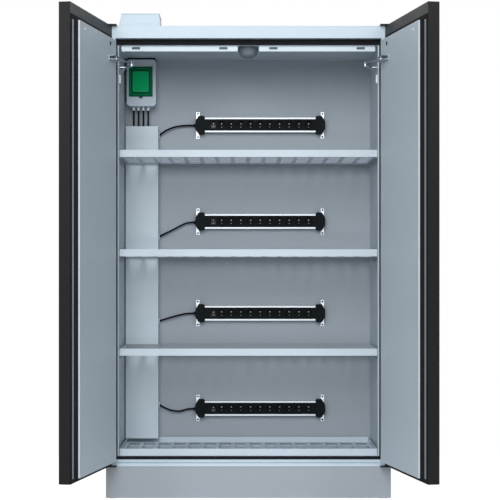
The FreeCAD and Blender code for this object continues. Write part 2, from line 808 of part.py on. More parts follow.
def shelf_supports():
    """Angle rails under each shelf: one on each side wall and a ledge along the rear wall."""
    rails = []
    for level, top in enumerate(SHELF_TOPS, start=1):
        shelf_under = f"{top} - tray_lip - fit_gap"
        rails.append(rear_ledge(level, shelf_under))
        for side, word in ((1, "right"), (-1, "left")):
            body = new_body(f"support_{word}_{level}")
            wall = f"{HALF_INNER} - fit_gap"
            outline = [(f"{side} * ({wall})", shelf_under),
                       (f"{side} * ({wall} - support_reach)", shelf_under),
                       (f"{side} * ({wall} - support_reach)", f"{shelf_under} - tray_sheet"),
                       (f"{side} * ({wall} - tray_sheet)", f"{shelf_under} - tray_sheet"),
                       (f"{side} * ({wall} - tray_sheet)", f"{shelf_under} - support_leg"),
                       (f"{side} * ({wall})", f"{shelf_under} - support_leg")]
            drawing = sketch(body, f"support_angle_{word}_{level}", "XZ_Plane", outline,
                             at=f"-{depth('shelf_front + support_margin')}")
            pad(body, drawing, f"{DUCT_FRONT} - shelf_front - 2 * support_margin", True)
            rails.append(body)
    node("shelf_supports", *rails)


SUMP_FLOOR = f"({INNER_FLOOR} + fit_gap)"
SUMP_X = (f"-{TRAY_X}", TRAY_X)
SUMP_FRONT = depth("sump_front")
SUMP_BACK = depth("body_depth - rear_wall - sump_rear_gap")


def sump_tray():
    """The closed drip tray on the interior floor."""
    node("sump_tray", pan("sump_pan", "XY_Plane", SUMP_X, (SUMP_FRONT, SUMP_BACK), SUMP_FLOOR,
                          "tray_sheet", "sump_rim", False))


def sump_grating():
    """The perforated insert that stands on its own folded legs in the drip tray."""
    body = new_body("sump_grating")
    inset = "(tray_sheet + grating_gap)"
    across = (f"{SUMP_X[0]} + {inset}", f"{SUMP_X[1]} - {inset}")
    back = (f"{SUMP_FRONT} + {inset}", f"{depth(DUCT_FRONT)} - duct_notch_gap")
    level = f"{SUMP_FLOOR} + sump_rim - grating_drop"
    face = sketch(body, "grating_face", "XY_Plane", rectangle(across, back), at=level)
    pad(body, face, "tray_sheet", True)
    legs = sketch(body, "grating_legs", "XY_Plane", *ring("tray_sheet", across, back), at=level)
    pad(body, legs, "sump_rim - grating_drop - tray_sheet - fit_gap", True)
    perforate(body, "grating", f"{level} - tray_sheet", f"({SUMP_FRONT} + slot_row_margin)")
    node("sump_grating", body)


# Ceiling fittings

def ceiling_rails():
    """Two open channels with oblong slots, screwed under the ceiling."""
    rails = []
    rail_top = f"{CEILING} - fit_gap"
    rail_low = f"({rail_top} - rail_drop)"
    front = depth("rail_front")
    for side, word in ((1, "right"), (-1, "left")):
        body = new_body("ceiling_rail_" + word)
        back = f"{front} + rail_depth"
        outline = [(front, rail_top), (front, rail_low), (back, rail_low),
                   (back, f"{rail_low} + rail_sheet"), (f"{front} + rail_sheet", f"{rail_low} + rail_sheet"),
                   (f"{front} + rail_sheet", f"{rail_top} - rail_sheet"),
                   (back, f"{rail_top} - rail_sheet"), (back, rail_top)]
        low, high = span(side, "rail_inner_end", f"{HALF_INNER} - rail_wall_gap")
        section = sketch(body, "rail_section_" + word, "YZ_Plane", outline, at=low)
        pad(body, section, f"{HALF_INNER} - rail_wall_gap - rail_inner_end")
        middle = f"{rail_low} + rail_drop / 2"
        up = (f"{middle} - rail_slot_height / 2", f"{middle} + rail_slot_height / 2")
        slots = [rectangle((f"{low} + rail_slot_inset", f"{low} + rail_slot_inset + rail_slot"), up),
                 rectangle((f"{high} - rail_slot_inset - rail_slot", f"{high} - rail_slot_inset"), up)]
        drawing = sketch(body, "rail_slots_" + word, "XZ_Plane", *slots, at=f"-{front}")
        pocket(body, drawing, "rail_sheet", False)
        rails.append(body)
    node("ceiling_rails", *rails)


def smoke_detector():
    """A round detector: base, tapered head and a shallow dome."""
    body = new_body("smoke_detector")
    drop = "detector_drop"
    outline = [("0", "0"), ("detector_radius", "0"), ("detector_radius", f"-{drop} * 0.3"),
               ("detector_radius * 0.82", f"-{drop} * 0.8"), ("detector_radius * 0.5", f"-{drop}"),
               ("0", f"-{drop}")]
    turned(body, "detector_outline", outline)
    place(body, "0", depth("detector_depth"), f"{CEILING} - fit_gap")
    node("smoke_detector", body)


def door_contacts():
    """Small switch housings on the side walls, behind the front lip."""
    contacts = []
    for side, word in ((1, "right"), (-1, "left")):
        across = span(side, f"{HALF_INNER} - contact_width", f"{HALF_INNER} - fit_gap")
        contacts.append(block("door_contact_" + word, across,
                              (depth("contact_front"), depth("contact_front + contact_depth")),
                              (f"{CEILING} - contact_drop - contact_tall", f"{CEILING} - contact_drop")))
    node("door_contacts", *contacts)


# Cable duct, distribution box and cables

LEAD_DEPTH = "body_depth - rear_wall - lead_wall_gap"
LEAD_INTO_DUCT = -409.0

# Each lead's route from its strip to the duct: X, distance in front of the exit, height above the strip.
LEAD_ROUTES = (
    ((-245.0, 0.0, -1.5), (-278.0, 0.0, -1.5), (-316.0, 4.0, -5.0), (-352.0, 6.0, -16.0),
     (-384.0, 4.0, -33.0), (LEAD_INTO_DUCT, 0.0, -54.0)),
    ((-245.0, 0.0, -4.0), (-270.0, 0.0, -4.0), (-302.0, 4.0, -18.0), (-336.0, 6.0, -37.0),
     (-372.0, 4.0, -54.0), (LEAD_INTO_DUCT, 0.0, -72.0)),
    ((-245.0, 0.0, -0.5), (-272.0, 0.0, -0.5), (-309.0, 4.0, -8.0), (-345.0, 6.0, -18.0),
     (-378.0, 4.0, -28.0), (LEAD_INTO_DUCT, 0.0, -38.5)),
    ((-245.0, 0.0, -2.5), (-270.0, 0.0, -2.5), (-303.0, 4.0, -14.0), (-338.0, 6.0, -12.0),
     (-375.0, 4.0, 1.0), (LEAD_INTO_DUCT, 0.0, 20.0)),
)


def lead_crossing(index):
    """Where a lead passes the duct's side wall: depth and height, as size expressions."""
    first, last = LEAD_ROUTES[index][-2:]
    wall = number(DUCT_RIGHT)
    share = (wall - first[0]) / (last[0] - first[0])
    forward = first[1] + share * (last[1] - first[1])
    rise = first[2] + share * (last[2] - first[2])
    return depth(f"{LEAD_DEPTH} - {forward}"), f"({STRIP_HEIGHTS[index]} + {rise})"


def gland_places():
    """The four supply cables' centres under the distribution box."""
    centre = f"(-{HALF_INNER} + panel_box_offset + panel_box_width / 2 - gland_offset)"
    back = depth("body_depth - rear_wall - duct_depth * 0.7")
    return [(f"({centre} + {step} * gland_pitch)", back) for step in (-1.5, -0.5, 0.5, 1.5)]


def cable_duct():
    """A folded channel on the back wall, with holes for the leads and the supply cables."""
    body = new_body("cable_duct")
    left = f"-{HALF_INNER} + duct_wall_gap"
    right = DUCT_RIGHT
    front = depth(DUCT_FRONT)
    back = depth("body_depth - rear_wall - fit_gap")
    base = f"{SUMP_FLOOR} + sump_rim + fit_gap"
    outline = [(left, back), (left, front), (right, front), (right, back), (f"{right} - tray_sheet", back),
               (f"{right} - tray_sheet", f"{front} + tray_sheet"),
               (f"{left} + tray_sheet", f"{front} + tray_sheet"), (f"{left} + tray_sheet", back)]
    walls = sketch(body, "duct_walls", "XY_Plane", outline, at=base)
    pad(body, walls, f"{DUCT_TOP} - ({base})")
    top = sketch(body, "duct_lid", "XY_Plane", rectangle((left, right), (front, back)), at=DUCT_TOP)
    pad(body, top, "tray_sheet", True)
    tails = circle_sketch(body, "duct_tail_holes", "XY_Plane", gland_places(), "tail_radius + fit_gap",
                          at=DUCT_TOP)
    pocket(body, tails, "2 * tray_sheet")
    leads = circle_sketch(body, "duct_lead_holes", "YZ_Plane", [lead_crossing(i) for i in range(4)],
                          "grommet_bore + 2 * fit_gap + 1", at=right)
    pocket(body, leads, "2 * tray_sheet")
    node("cable_duct", body)


def cable_glands():
    """White hexagonal glands under the distribution box, and rings where the leads enter the duct."""
    pieces = []
    for index, (across, back) in enumerate(gland_places(), start=1):
        pieces.append(nut(f"gland_{index}", (across, back, f"{BOX_LOW} - fit_gap - gland_length"),
                          "gland_radius", "gland_length"))
    for index in range(4):
        back, up = lead_crossing(index)
        flange = rod(f"grommet_flange_{index + 1}", (f"{DUCT_RIGHT} + fit_gap", back, up),
                     "grommet_radius", "grommet_flange", "x")
        hole = rod(f"grommet_hole_{index + 1}", (DUCT_RIGHT, back, up),
                   "grommet_bore", "grommet_flange + 1", "x")
        pieces.append(cut(f"grommet_{index + 1}", flange, hole))
    node("cable_glands", *pieces)


BOX_LEFT = f"(-{HALF_INNER} + panel_box_offset)"
BOX_RIGHT = f"({BOX_LEFT} + panel_box_width)"
BOX_BACK = depth("body_depth - rear_wall - fit_gap")
BOX_FRONT = depth("body_depth - rear_wall - fit_gap - panel_box_depth")
BOX_TOP = f"({CEILING} - panel_box_drop)"
BOX_LOW = f"({BOX_TOP} - panel_box_tall)"
FLAP_LEFT = f"({BOX_LEFT} + flap_offset)"
FLAP_RIGHT = f"({FLAP_LEFT} + flap_width)"
FLAP_TOP = f"({BOX_TOP} - flap_drop)"
FLAP_BACK = f"({BOX_FRONT} - flap_gap)"
FLAP_AXIS_Y = f"({FLAP_BACK} - flap_thickness / 2)"
WINDOW_X = (f"{FLAP_LEFT} + window_inset", f"{FLAP_RIGHT} - window_inset")
WINDOW_Z = (f"{FLAP_TOP} - flap_tall + window_inset", f"{FLAP_TOP} - window_inset")


def distribution_box():
    """A moulded wall box with a window behind the flap and two ears for the flap's pin."""
    body = new_body("distribution_box")
    round_end = "panel_box_round"
    left, right, low, high = BOX_LEFT, BOX_RIGHT, BOX_LOW, BOX_TOP
    outline = [(f"{left} + {round_end}", low), (f"{right} - {round_end}", low),
               (right, f"{low} + {round_end}"), (right, f"{high} - {round_end}"),
               (f"{right} - {round_end}", high), (f"{left} + {round_end}", high),
               (left, f"{high} - {round_end}"), (left, f"{low} + {round_end}")]
    drawing = sketch(body, "box_outline", "XZ_Plane", outline, at=f"-{BOX_FRONT}")
    pad(body, drawing, "panel_box_depth", True)
    window = sketch(body, "box_window", "XZ_Plane", rectangle(WINDOW_X, WINDOW_Z), at=f"-{BOX_FRONT}")
    pocket(body, window, "panel_box_depth - panel_box_wall", False)
    for word, low_x, high_x in (("left", f"{FLAP_LEFT} - 4", f"{FLAP_LEFT} - fit_gap"),
                                ("right", f"{FLAP_RIGHT} + fit_gap", f"{FLAP_RIGHT} + 4")):
        ear = sketch(body, "box_ear_" + word, "XZ_Plane",
                     rectangle((low_x, high_x), (f"{FLAP_TOP} - 5", f"{FLAP_TOP} + 5")), at=f"-{BOX_FRONT}")
        pad(body, ear, "flap_gap + flap_thickness")
    pin_hole = circle_sketch(body, "box_pin_hole", "YZ_Plane", [(FLAP_AXIS_Y, FLAP_TOP)],
                             "flap_pin_radius / 2 + hinge_running_gap", at=f"{FLAP_RIGHT} + 4")
    pocket(body, pin_hole, "flap_width + 8")
    node("distribution_box", body)


def box_flap():
    """The green flap: a plate with a raised pad, a thumb tab and a pin along its top edge."""
    body = new_body("box_flap_plate")
    across = (FLAP_LEFT, FLAP_RIGHT)
    tab = f"({FLAP_LEFT} + flap_width / 2)"
    low = f"({FLAP_TOP} - flap_tall)"
    outline = [(across[0], low), (f"{tab} - 10", low), (f"{tab} - 5", f"{low} - 8"),
               (f"{tab} + 5", f"{low} - 8"), (f"{tab} + 10", low), (across[1], low),
               (across[1], FLAP_TOP), (across[0], FLAP_TOP)]
    plate = sketch(body, "flap_plate", "XZ_Plane", outline, at=f"-{FLAP_BACK}")
    pad(body, plate, "flap_thickness")
    raised = ((f"{across[0]} + flap_pad_inset", f"{across[1]} - flap_pad_inset"),
              (f"{low} + flap_pad_inset * 1.2", f"{FLAP_TOP} - flap_pad_inset * 1.2"))
    raised_pad = sketch(body, "flap_pad", "XZ_Plane", rectangle(*raised),
                        at=f"-{FLAP_BACK} + flap_thickness")
    pad(body, raised_pad, "flap_pad_rise")
    pin = rod("flap_pin", (f"{FLAP_LEFT} - 3.5", FLAP_AXIS_Y, FLAP_TOP), "flap_pin_radius / 2",
              "flap_width + 7", "x")
    node("box_flap", fuse("flap_and_pin", body, pin))


BREAKER_X = f"({FLAP_LEFT} + flap_width / 2)"
BREAKER_Z = f"({FLAP_TOP} - flap_tall / 2)"
BREAKER_BACK = f"({BOX_BACK} - panel_box_wall - fit_gap)"
TOGGLE_Y = f"({BREAKER_BACK} - breaker_depth)"


def earth_leakage_breaker():
    """A stepped breaker housing behind the flap, with a slot for its toggle."""
    body = new_body("earth_leakage_breaker")
    half = "breaker_width / 2"
    outline = [(f"{BREAKER_BACK}", f"{BREAKER_Z} - breaker_tall / 2"),
               (f"{BREAKER_BACK}", f"{BREAKER_Z} + breaker_tall / 2"),
               (f"{TOGGLE_Y} + breaker_nose_rise", f"{BREAKER_Z} + breaker_tall / 2"),
               (f"{TOGGLE_Y} + breaker_nose_rise", f"{BREAKER_Z} + breaker_nose / 2"),
               (TOGGLE_Y, f"{BREAKER_Z} + breaker_nose / 2"), (TOGGLE_Y, f"{BREAKER_Z} - breaker_nose / 2"),
               (f"{TOGGLE_Y} + breaker_nose_rise", f"{BREAKER_Z} - breaker_nose / 2"),
               (f"{TOGGLE_Y} + breaker_nose_rise", f"{BREAKER_Z} - breaker_tall / 2")]
    section = sketch(body, "breaker_section", "YZ_Plane", outline, at=f"{BREAKER_X} - {half}")
    pad(body, section, "breaker_width")
    slot = rectangle((f"{BREAKER_X} - toggle_half_width - 0.5", f"{BREAKER_X} + toggle_half_width + 0.5"),
                     (f"{BREAKER_Z} - toggle_radius - 2", f"{BREAKER_Z} + toggle_radius + 2"))
    drawing = sketch(body, "breaker_slot", "XZ_Plane", slot, at=f"-{TOGGLE_Y}")
    pocket(body, drawing, "2 * toggle_radius + 1", False)
    node("earth_leakage_breaker", body)


def breaker_toggle():
    """The toggle: a drum in the breaker's slot with a lever that stands out of it."""
    centre_y = f"{TOGGLE_Y} + toggle_radius"
    drum = rod("toggle_drum", ("-toggle_half_width", "0", "0"), "toggle_radius",
               "2 * toggle_half_width", "x")
    lever = block("toggle_lever", ("-toggle_half_width * 0.8", "toggle_half_width * 0.8"),
                  ("-toggle_radius - toggle_reach", "0"), ("-2", "2"))
    whole = fuse("toggle_whole", drum, lever)
    whole.Placement = Placement(Vector(), Rotation(Vector(1, 0, 0), 1))
    bind(whole, "Placement.Rotation.Angle", "-toggle_rest")
    place(whole, BREAKER_X, centre_y, BREAKER_Z)
    node("breaker_toggle", whole)


def supply_tails():
    """Four cables from the box's glands into the duct's lid, and the entry pad under the ceiling."""
    low = f"({DUCT_TOP} - 4 * tray_sheet)"
    tails = [rod(f"supply_tail_{index}", (across, back, low), "tail_radius",
                 f"{BOX_LOW} - gland_length - 2 * fit_gap - {low}")
             for index, (across, back) in enumerate(gland_places(), start=1)]
    pad_x = (f"{BOX_LEFT} + entry_pad_inset", f"{BOX_RIGHT} - entry_pad_inset")
    entry = block("box_entry_pad", pad_x, (f"{BOX_FRONT} + entry_pad_inset", f"{BOX_BACK} - entry_pad_inset"),
                  (f"{BOX_TOP} + fit_gap", f"{CEILING} - fit_gap"))
    node("supply_tails", *tails, entry)


# Socket strips

STRIP_BACK = depth("body_depth - rear_wall - fit_gap - ear_sheet - fit_gap")
STRIP_FRONT = depth("body_depth - rear_wall - strip_front_gap")
STRIP_END = "(strip_start + strip_length)"


def strip_profiles():
    """Aluminium channels, open to the front between two lips."""
    pieces = []
    for index, height in enumerate(STRIP_HEIGHTS, start=1):
        body = new_body(f"strip_profile_{index}")
        top, low = f"({height} + strip_half_height)", f"({height} - strip_half_height)"
        front, back, wall = STRIP_FRONT, STRIP_BACK, "strip_wall"
        outline = [(back, low), (back, top), (front, top), (front, f"{top} - strip_lip"),
                   (f"{front} + {wall}", f"{top} - strip_lip"), (f"{front} + {wall}", f"{top} - {wall}"),
                   (f"{back} - {wall}", f"{top} - {wall}"), (f"{back} - {wall}", f"{low} + {wall}"),
                   (f"{front} + {wall}", f"{low} + {wall}"), (f"{front} + {wall}", f"{low} + strip_lip"),
                   (front, f"{low} + strip_lip"), (front, low)]
        section = sketch(body, f"strip_section_{index}", "YZ_Plane", outline, at="strip_start + fit_gap")
        pad(body, section, "strip_length - 2 * fit_gap")
        pieces.append(body)
    node("strip_profiles", *pieces)


SOCKET_SIDES = 16


def round_corners(across, up, radius):
    """The corners of a many-sided outline that stands for a circle."""
    turns = [2 * math.pi * (step + 0.5) / SOCKET_SIDES for step in range(SOCKET_SIDES)]
    return [(f"{across} + {math.cos(turn):.6f} * {radius}", f"{up} + {math.sin(turn):.6f} * {radius}")
            for turn in turns]


def strip_sockets():
    """Black inserts with ten socket recesses and a pocket for the rocker."""
    pieces = []
    for index, height in enumerate(STRIP_HEIGHTS, start=1):
        body = new_body(f"strip_insert_{index}")
        half = "(strip_half_height - strip_lip - fit_gap)"
        front = f"({STRIP_FRONT} + insert_setback)"
        across = ("strip_start + 2 * fit_gap", f"{STRIP_END} - 2 * fit_gap")
        face = rectangle(across, (f"{height} - {half}", f"{height} + {half}"))
        drawing = sketch(body, f"insert_face_{index}", "XZ_Plane", face, at=f"-{front}")
        pad(body, drawing, "insert_depth", True)
        recess = sketch(body, f"socket_{index}", "XZ_Plane",
                        round_corners("socket_first", height, "socket_radius"), at=f"-{front}")
        first = pocket(body, recess, "socket_recess", False)
        row_of(body, first, recess, "H_Axis", "socket_pitch", "10")
        side = "(rocker_half_width + fit_gap)"
        tall = "(rocker_half_tall + rocker_pocket_gap)"
        hole = rectangle((f"rocker_centre - {side}", f"rocker_centre + {side}"),
                         (f"{height} - {tall}", f"{height} + {tall}"))
        rocker_hole = sketch(body, f"rocker_hole_{index}", "XZ_Plane", hole, at=f"-{front}")
        pocket(body, rocker_hole, "2 * rocker_depth", False)
        pieces.append(body)
    node("strip_sockets", *pieces)


def cap_outline(side, height):
    """An end cap seen from the front: large corners cut off outside, small ones towards the strip."""
    inner = "strip_start" if side < 0 else STRIP_END
    outer = f"({inner} + {side} * cap_length)"
    corner = f"({outer} - {side} * cap_corner)"
    near = f"({inner} + {side} * cap_inner_corner)"
    low, high = f"({height} - cap_half_height)", f"({height} + cap_half_height)"
    return [(inner, f"{low} + cap_inner_corner"), (near, low), (corner, low),
            (outer, f"{low} + cap_corner * 1.6"), (outer, f"{high} - cap_corner * 1.6"),
            (corner, high), (near, high), (inner, f"{high} - cap_inner_corner")]


def strip_end_caps():
    """Black caps at both ends of each strip, the left one with the lead's strain relief."""
    pieces = []
    for index, height in enumerate(STRIP_HEIGHTS, start=1):
        for side, word in ((-1, "left"), (1, "right")):
            body = new_body(f"strip_cap_{word}_{index}")
            drawing = sketch(body, f"cap_face_{word}_{index}", "XZ_Plane", cap_outline(side, height),
                             at=f"-{STRIP_BACK}")
            pad(body, drawing, f"{STRIP_BACK} - {STRIP_FRONT} + cap_proud")
            if side < 0:
                start = LEAD_ROUTES[index - 1][0]
                centre = (depth(LEAD_DEPTH), f"{height} + {start[2]}")
                nub = circle_sketch(body, f"cap_nub_{index}", "YZ_Plane", [centre], "nub_radius",
                                    at="strip_start - cap_length + 1")
                pad(body, nub, "nub_length + 1", True)
            pieces.append(body)
    node("strip_end_caps", *pieces)


def strip_brackets():
    """Bright ears behind the caps, by which each strip is screwed to the back wall."""
    pieces = []
    for index, height in enumerate(STRIP_HEIGHTS, start=1):
        for side, word in ((-1, "left"), (1, "right")):
            inner = "strip_start" if side < 0 else STRIP_END
            middle = f"({inner} + {side} * (cap_length - ear_inset))"
            pieces.append(block(f"strip_ear_{word}_{index}",
                                (f"{middle} - ear_half_width", f"{middle} + ear_half_width"),
                                (f"{STRIP_BACK} + fit_gap", depth("body_depth - rear_wall - fit_gap")),
                                (f"{height} - ear_half_height", f"{height} + ear_half_height")))
    return pieces


def rockers():
    """One rocker for each strip, tilted as it rests, with a round hub on its pivot."""
    pivot_y = f"({STRIP_FRONT} + insert_setback + rocker_depth * 0.8)"
    for index, height in enumerate(STRIP_HEIGHTS, start=1):
        body = new_body(f"rocker_body_{index}")
        reach, tall = "rocker_depth", "rocker_half_tall"
        outline = [(f"-{reach}", tall), (f"-{reach} * 0.75", "0"), (f"-{reach}", f"-{tall}"),
                   ("0", f"-{tall}"), (f"{reach} * 0.3", f"-{tall} * 0.7"),
                   (f"{reach} * 0.3", f"{tall} * 0.7"), ("0", tall)]
        section = sketch(body, f"rocker_section_{index}", "YZ_Plane", outline, at="-rocker_half_width")
        pad(body, section, "2 * rocker_half_width")
        hub = rod(f"rocker_hub_{index}", ("-rocker_half_width", "0", "0"), f"{reach} * 0.6",
                  "2 * rocker_half_width", "x")
        whole = fuse(f"rocker_whole_{index}", body, hub)
        whole.Placement = Placement(Vector(), Rotation(Vector(1, 0, 0), 1))
        bind(whole, "Placement.Rotation.Angle", "rocker_tilt")
        place(whole, "rocker_centre", pivot_y, height)
        node(f"rocker_{index}", whole)


# Power leads

def tangent_path(points):
    """Straight runs joined by tangent arcs, each as large as its two runs allow."""
    edges = []
    radii = []
    start = points[0]
    for before, corner, after in zip(points, points[1:], points[2:]):
        inward = (corner - before).normalize()
        outward = (after - corner).normalize()
        tangent = 0.45 * min((corner - before).Length, (after - corner).Length)
        half_turn = inward.getAngle(outward) / 2
        radius = tangent / math.tan(half_turn)
        rise = radius * (1 / math.cos(half_turn) - 1)
        middle = corner + (outward - inward).normalize() * rise
        arc_start = corner - inward * tangent
        arc_end = corner + outward * tangent
        edges.append(Part.LineSegment(start, arc_start).toShape())
        edges.append(Part.Arc(arc_start, middle, arc_end).toShape())
        radii.append(round(radius))
        start = arc_end
    edges.append(Part.LineSegment(start, points[-1]).toShape())
    return Part.Wire(edges), radii


def power_leads():
    """One flexible lead from each strip's cap into the duct, slack between its two ends."""
    radius = number("lead_radius")
    for index, height in enumerate(STRIP_HEIGHTS, start=1):
        back = number(depth(LEAD_DEPTH))
        level = number(height)
        points = [Vector(across, back - forward, level + rise)
                  for across, forward, rise in LEAD_ROUTES[index - 1]]
        path, radii = tangent_path(points)
        section = Part.Wire(Part.Circle(points[0], points[1] - points[0], radius).toShape())
        tube = path.makePipeShell([section], True, True)
        ideal = math.pi * radius ** 2 * path.Length
        print("lead", index, "length", round(path.Length, 1), "radii", radii,
              "volume ratio", round(tube.Volume / ideal, 4))
        lead = doc.addObject("Part::Feature", f"power_lead_{index}")
        lead.Shape = tube
        node(f"power_lead_{index}", lead)


# Roof pieces

def roof_junction_box():
    """A tapering sheet box on the roof with a flat lid and a cable entry at its back."""
    body = new_body("roof_box")
    left = f"(-{HALF_BODY} + roof_box_inset)"
    base = "body_height + fit_gap"
    top = f"({base} + roof_box_tall)"
    wall = "roof_box_wall"
    outline = [(left, base), (f"{left} + roof_box_base", base),
               (f"{left} + roof_box_lean + roof_box_top", top), (f"{left} + roof_box_lean", top)]
    inside = [(f"{left} + {wall} + 1", f"{base} + {wall}"),
              (f"{left} + roof_box_base - {wall} - 1", f"{base} + {wall}"),
              (f"{left} + roof_box_lean + roof_box_top - {wall} - 1", top),
              (f"{left} + roof_box_lean + {wall} + 1", top)]
    front = depth("roof_box_front")
    drawing = sketch(body, "roof_box_outline", "XZ_Plane", outline, at=f"-{front}")
    pad(body, drawing, "roof_box_depth", True)
    hollow = sketch(body, "roof_box_hollow", "XZ_Plane", inside, at=f"-({front} + {wall})")
    pocket(body, hollow, f"roof_box_depth - 2 * {wall}", False)
    back = f"({front} + roof_box_depth)"
    entry = circle_sketch(body, "roof_box_entry", "XZ_Plane",
                          [(f"{left} + roof_box_lean + roof_box_top / 2", f"{base} + roof_box_tall / 2")],
                          "entry_radius", at=f"-({back} - {wall})")
    pocket(body, entry, wall, False)
    lid = block("roof_box_lid", (f"{left} + roof_box_lean - 1", f"{left} + roof_box_lean + roof_box_top + 1"),
                (f"{front} - 1", f"{back} + 1"), (f"{top} + fit_gap", f"{top} + roof_lid"))
    node("roof_junction_box", body, lid)


def exhaust_spigot():
    """A flanged tube stub on the roof, for a ventilation pipe."""
    body = new_body("exhaust_spigot")
    inner = "(spigot_radius - spigot_wall)"
    outline = [(inner, "0"), ("spigot_flange", "0"), ("spigot_flange", "spigot_wall"),
               ("spigot_radius", "spigot_wall"), ("spigot_radius", "spigot_tall"), (inner, "spigot_tall")]
    turned(body, "spigot_outline", outline)
    place(body, SPIGOT[0], SPIGOT[1], "body_height + fit_gap")
    node("exhaust_spigot", body)


# Hinges

def hinge_plates():
    """Plates above and below the doors, each with its pin."""
    pieces = []
    for side, word in ((1, "right"), (-1, "left")):
        centre = f"{side} * {HINGE_X}"
        across = span(side, f"{HALF_BODY} - hinge_plate_width", HALF_BODY)
        nose = f"{HINGE_Y} - hinge_plate_nose"
        top_low = "body_height + fit_gap"
        top = block("hinge_top_plate_" + word, across, (nose, depth("hinge_plate_back")),
                    (top_low, f"{top_low} + hinge_plate"))
        skin_top = "(body_height - door_top_gap)"
        top_pin = rod("hinge_top_pin_" + word, (centre, HINGE_Y, f"{skin_top} - hinge_pin_reach"),
                      "hinge_pin_radius", f"{top_low} + hinge_plate - {skin_top} + hinge_pin_reach")
        pieces.append(fuse("hinge_top_" + word, top, top_pin))
        low_high = "(door_bottom - 1.5)"
        low_low = f"({low_high} - hinge_plate)"
        low = block("hinge_low_plate_" + word, across, (nose, depth("-fit_gap")), (low_low, low_high))
        low_pin = rod("hinge_low_pin_" + word, (centre, HINGE_Y, low_low), "hinge_pin_radius",
                      f"door_bottom + hinge_pin_reach - {low_low}")
        pieces.append(fuse("hinge_low_" + word, low, low_pin))
    node("hinge_plates", *pieces)


# Doors, built closed and then swung to their resting angle

def swing(thing, side):
    """Turn a closed door's piece about its hinge axis to the resting angle."""
    thing.Placement = Placement(Vector(), Rotation(Vector(0, 0, 1), 1))
    across = f"({side} * {HINGE_X})"
    turn = f"({side} * door_rest)"
    bind(thing, "Placement.Base.x", f"{across} - ({across} * cos({turn}) - {HINGE_Y} * sin({turn}))")
    bind(thing, "Placement.Base.y", f"{HINGE_Y} - ({across} * sin({turn}) + {HINGE_Y} * cos({turn}))")
    bind(thing, "Placement.Rotation.Angle", turn)


def door_node(name, side, *pieces):
    """Keep a door's pieces under one name at the resting angle."""
    kept = group(name + "_swung", *pieces)
    swing(kept, side)
    kept.Label = name
    NODES[name] = kept


SKIN_BACK = depth("-door_gap")
SKIN_FRONT = depth("-door_gap - skin_thickness")
DOOR_TOP = "(body_height - door_top_gap)"
SKIN_X = ("door_middle_gap", HALF_BODY)
SKIN_Z = ("door_bottom", DOOR_TOP)
PLUG_X = ("(door_middle_gap + plug_free_inset)", f"({HALF_OPENING} - plug_hinge_inset)")
PLUG_Z = ("(door_bottom + plug_bottom_inset)", f"({DOOR_TOP} - plug_top_inset)")
RIM_FRONT = f"({SKIN_BACK} + fit_gap)"
RIM_BACK = f"({SKIN_BACK} + rim_thickness)"
GASKET_BACK = f"({RIM_BACK} + gasket_thickness)"
PANEL_BACK = f"({GASKET_BACK} + panel_thickness)"


def grown(ends, amount):
    """A pair of ends moved apart by an amount."""
    return (f"{ends[0]} - ({amount})", f"{ends[1]} + ({amount})")


def sided_ring(name, side, outer, inner, low_y, high_y):
    """A rectangular ring in the XZ plane between two depths."""
    body = new_body(name)
    drawing = sketch(body, name + "_ring", "XZ_Plane", rectangle(span(side, *outer[0]), outer[1]),
                     rectangle(span(side, *inner[0]), inner[1]), at=f"-({low_y})")
    pad(body, drawing, f"({high_y}) - ({low_y})", True)
    return body


def cup_ends():
    """The handle cup's ends across the closed right door."""
    return ("(door_middle_gap + cup_from_edge)", "(door_middle_gap + cup_from_edge + cup_width)")


CUP_Z = ("(cup_centre - cup_tall / 2)", "(cup_centre + cup_tall / 2)")


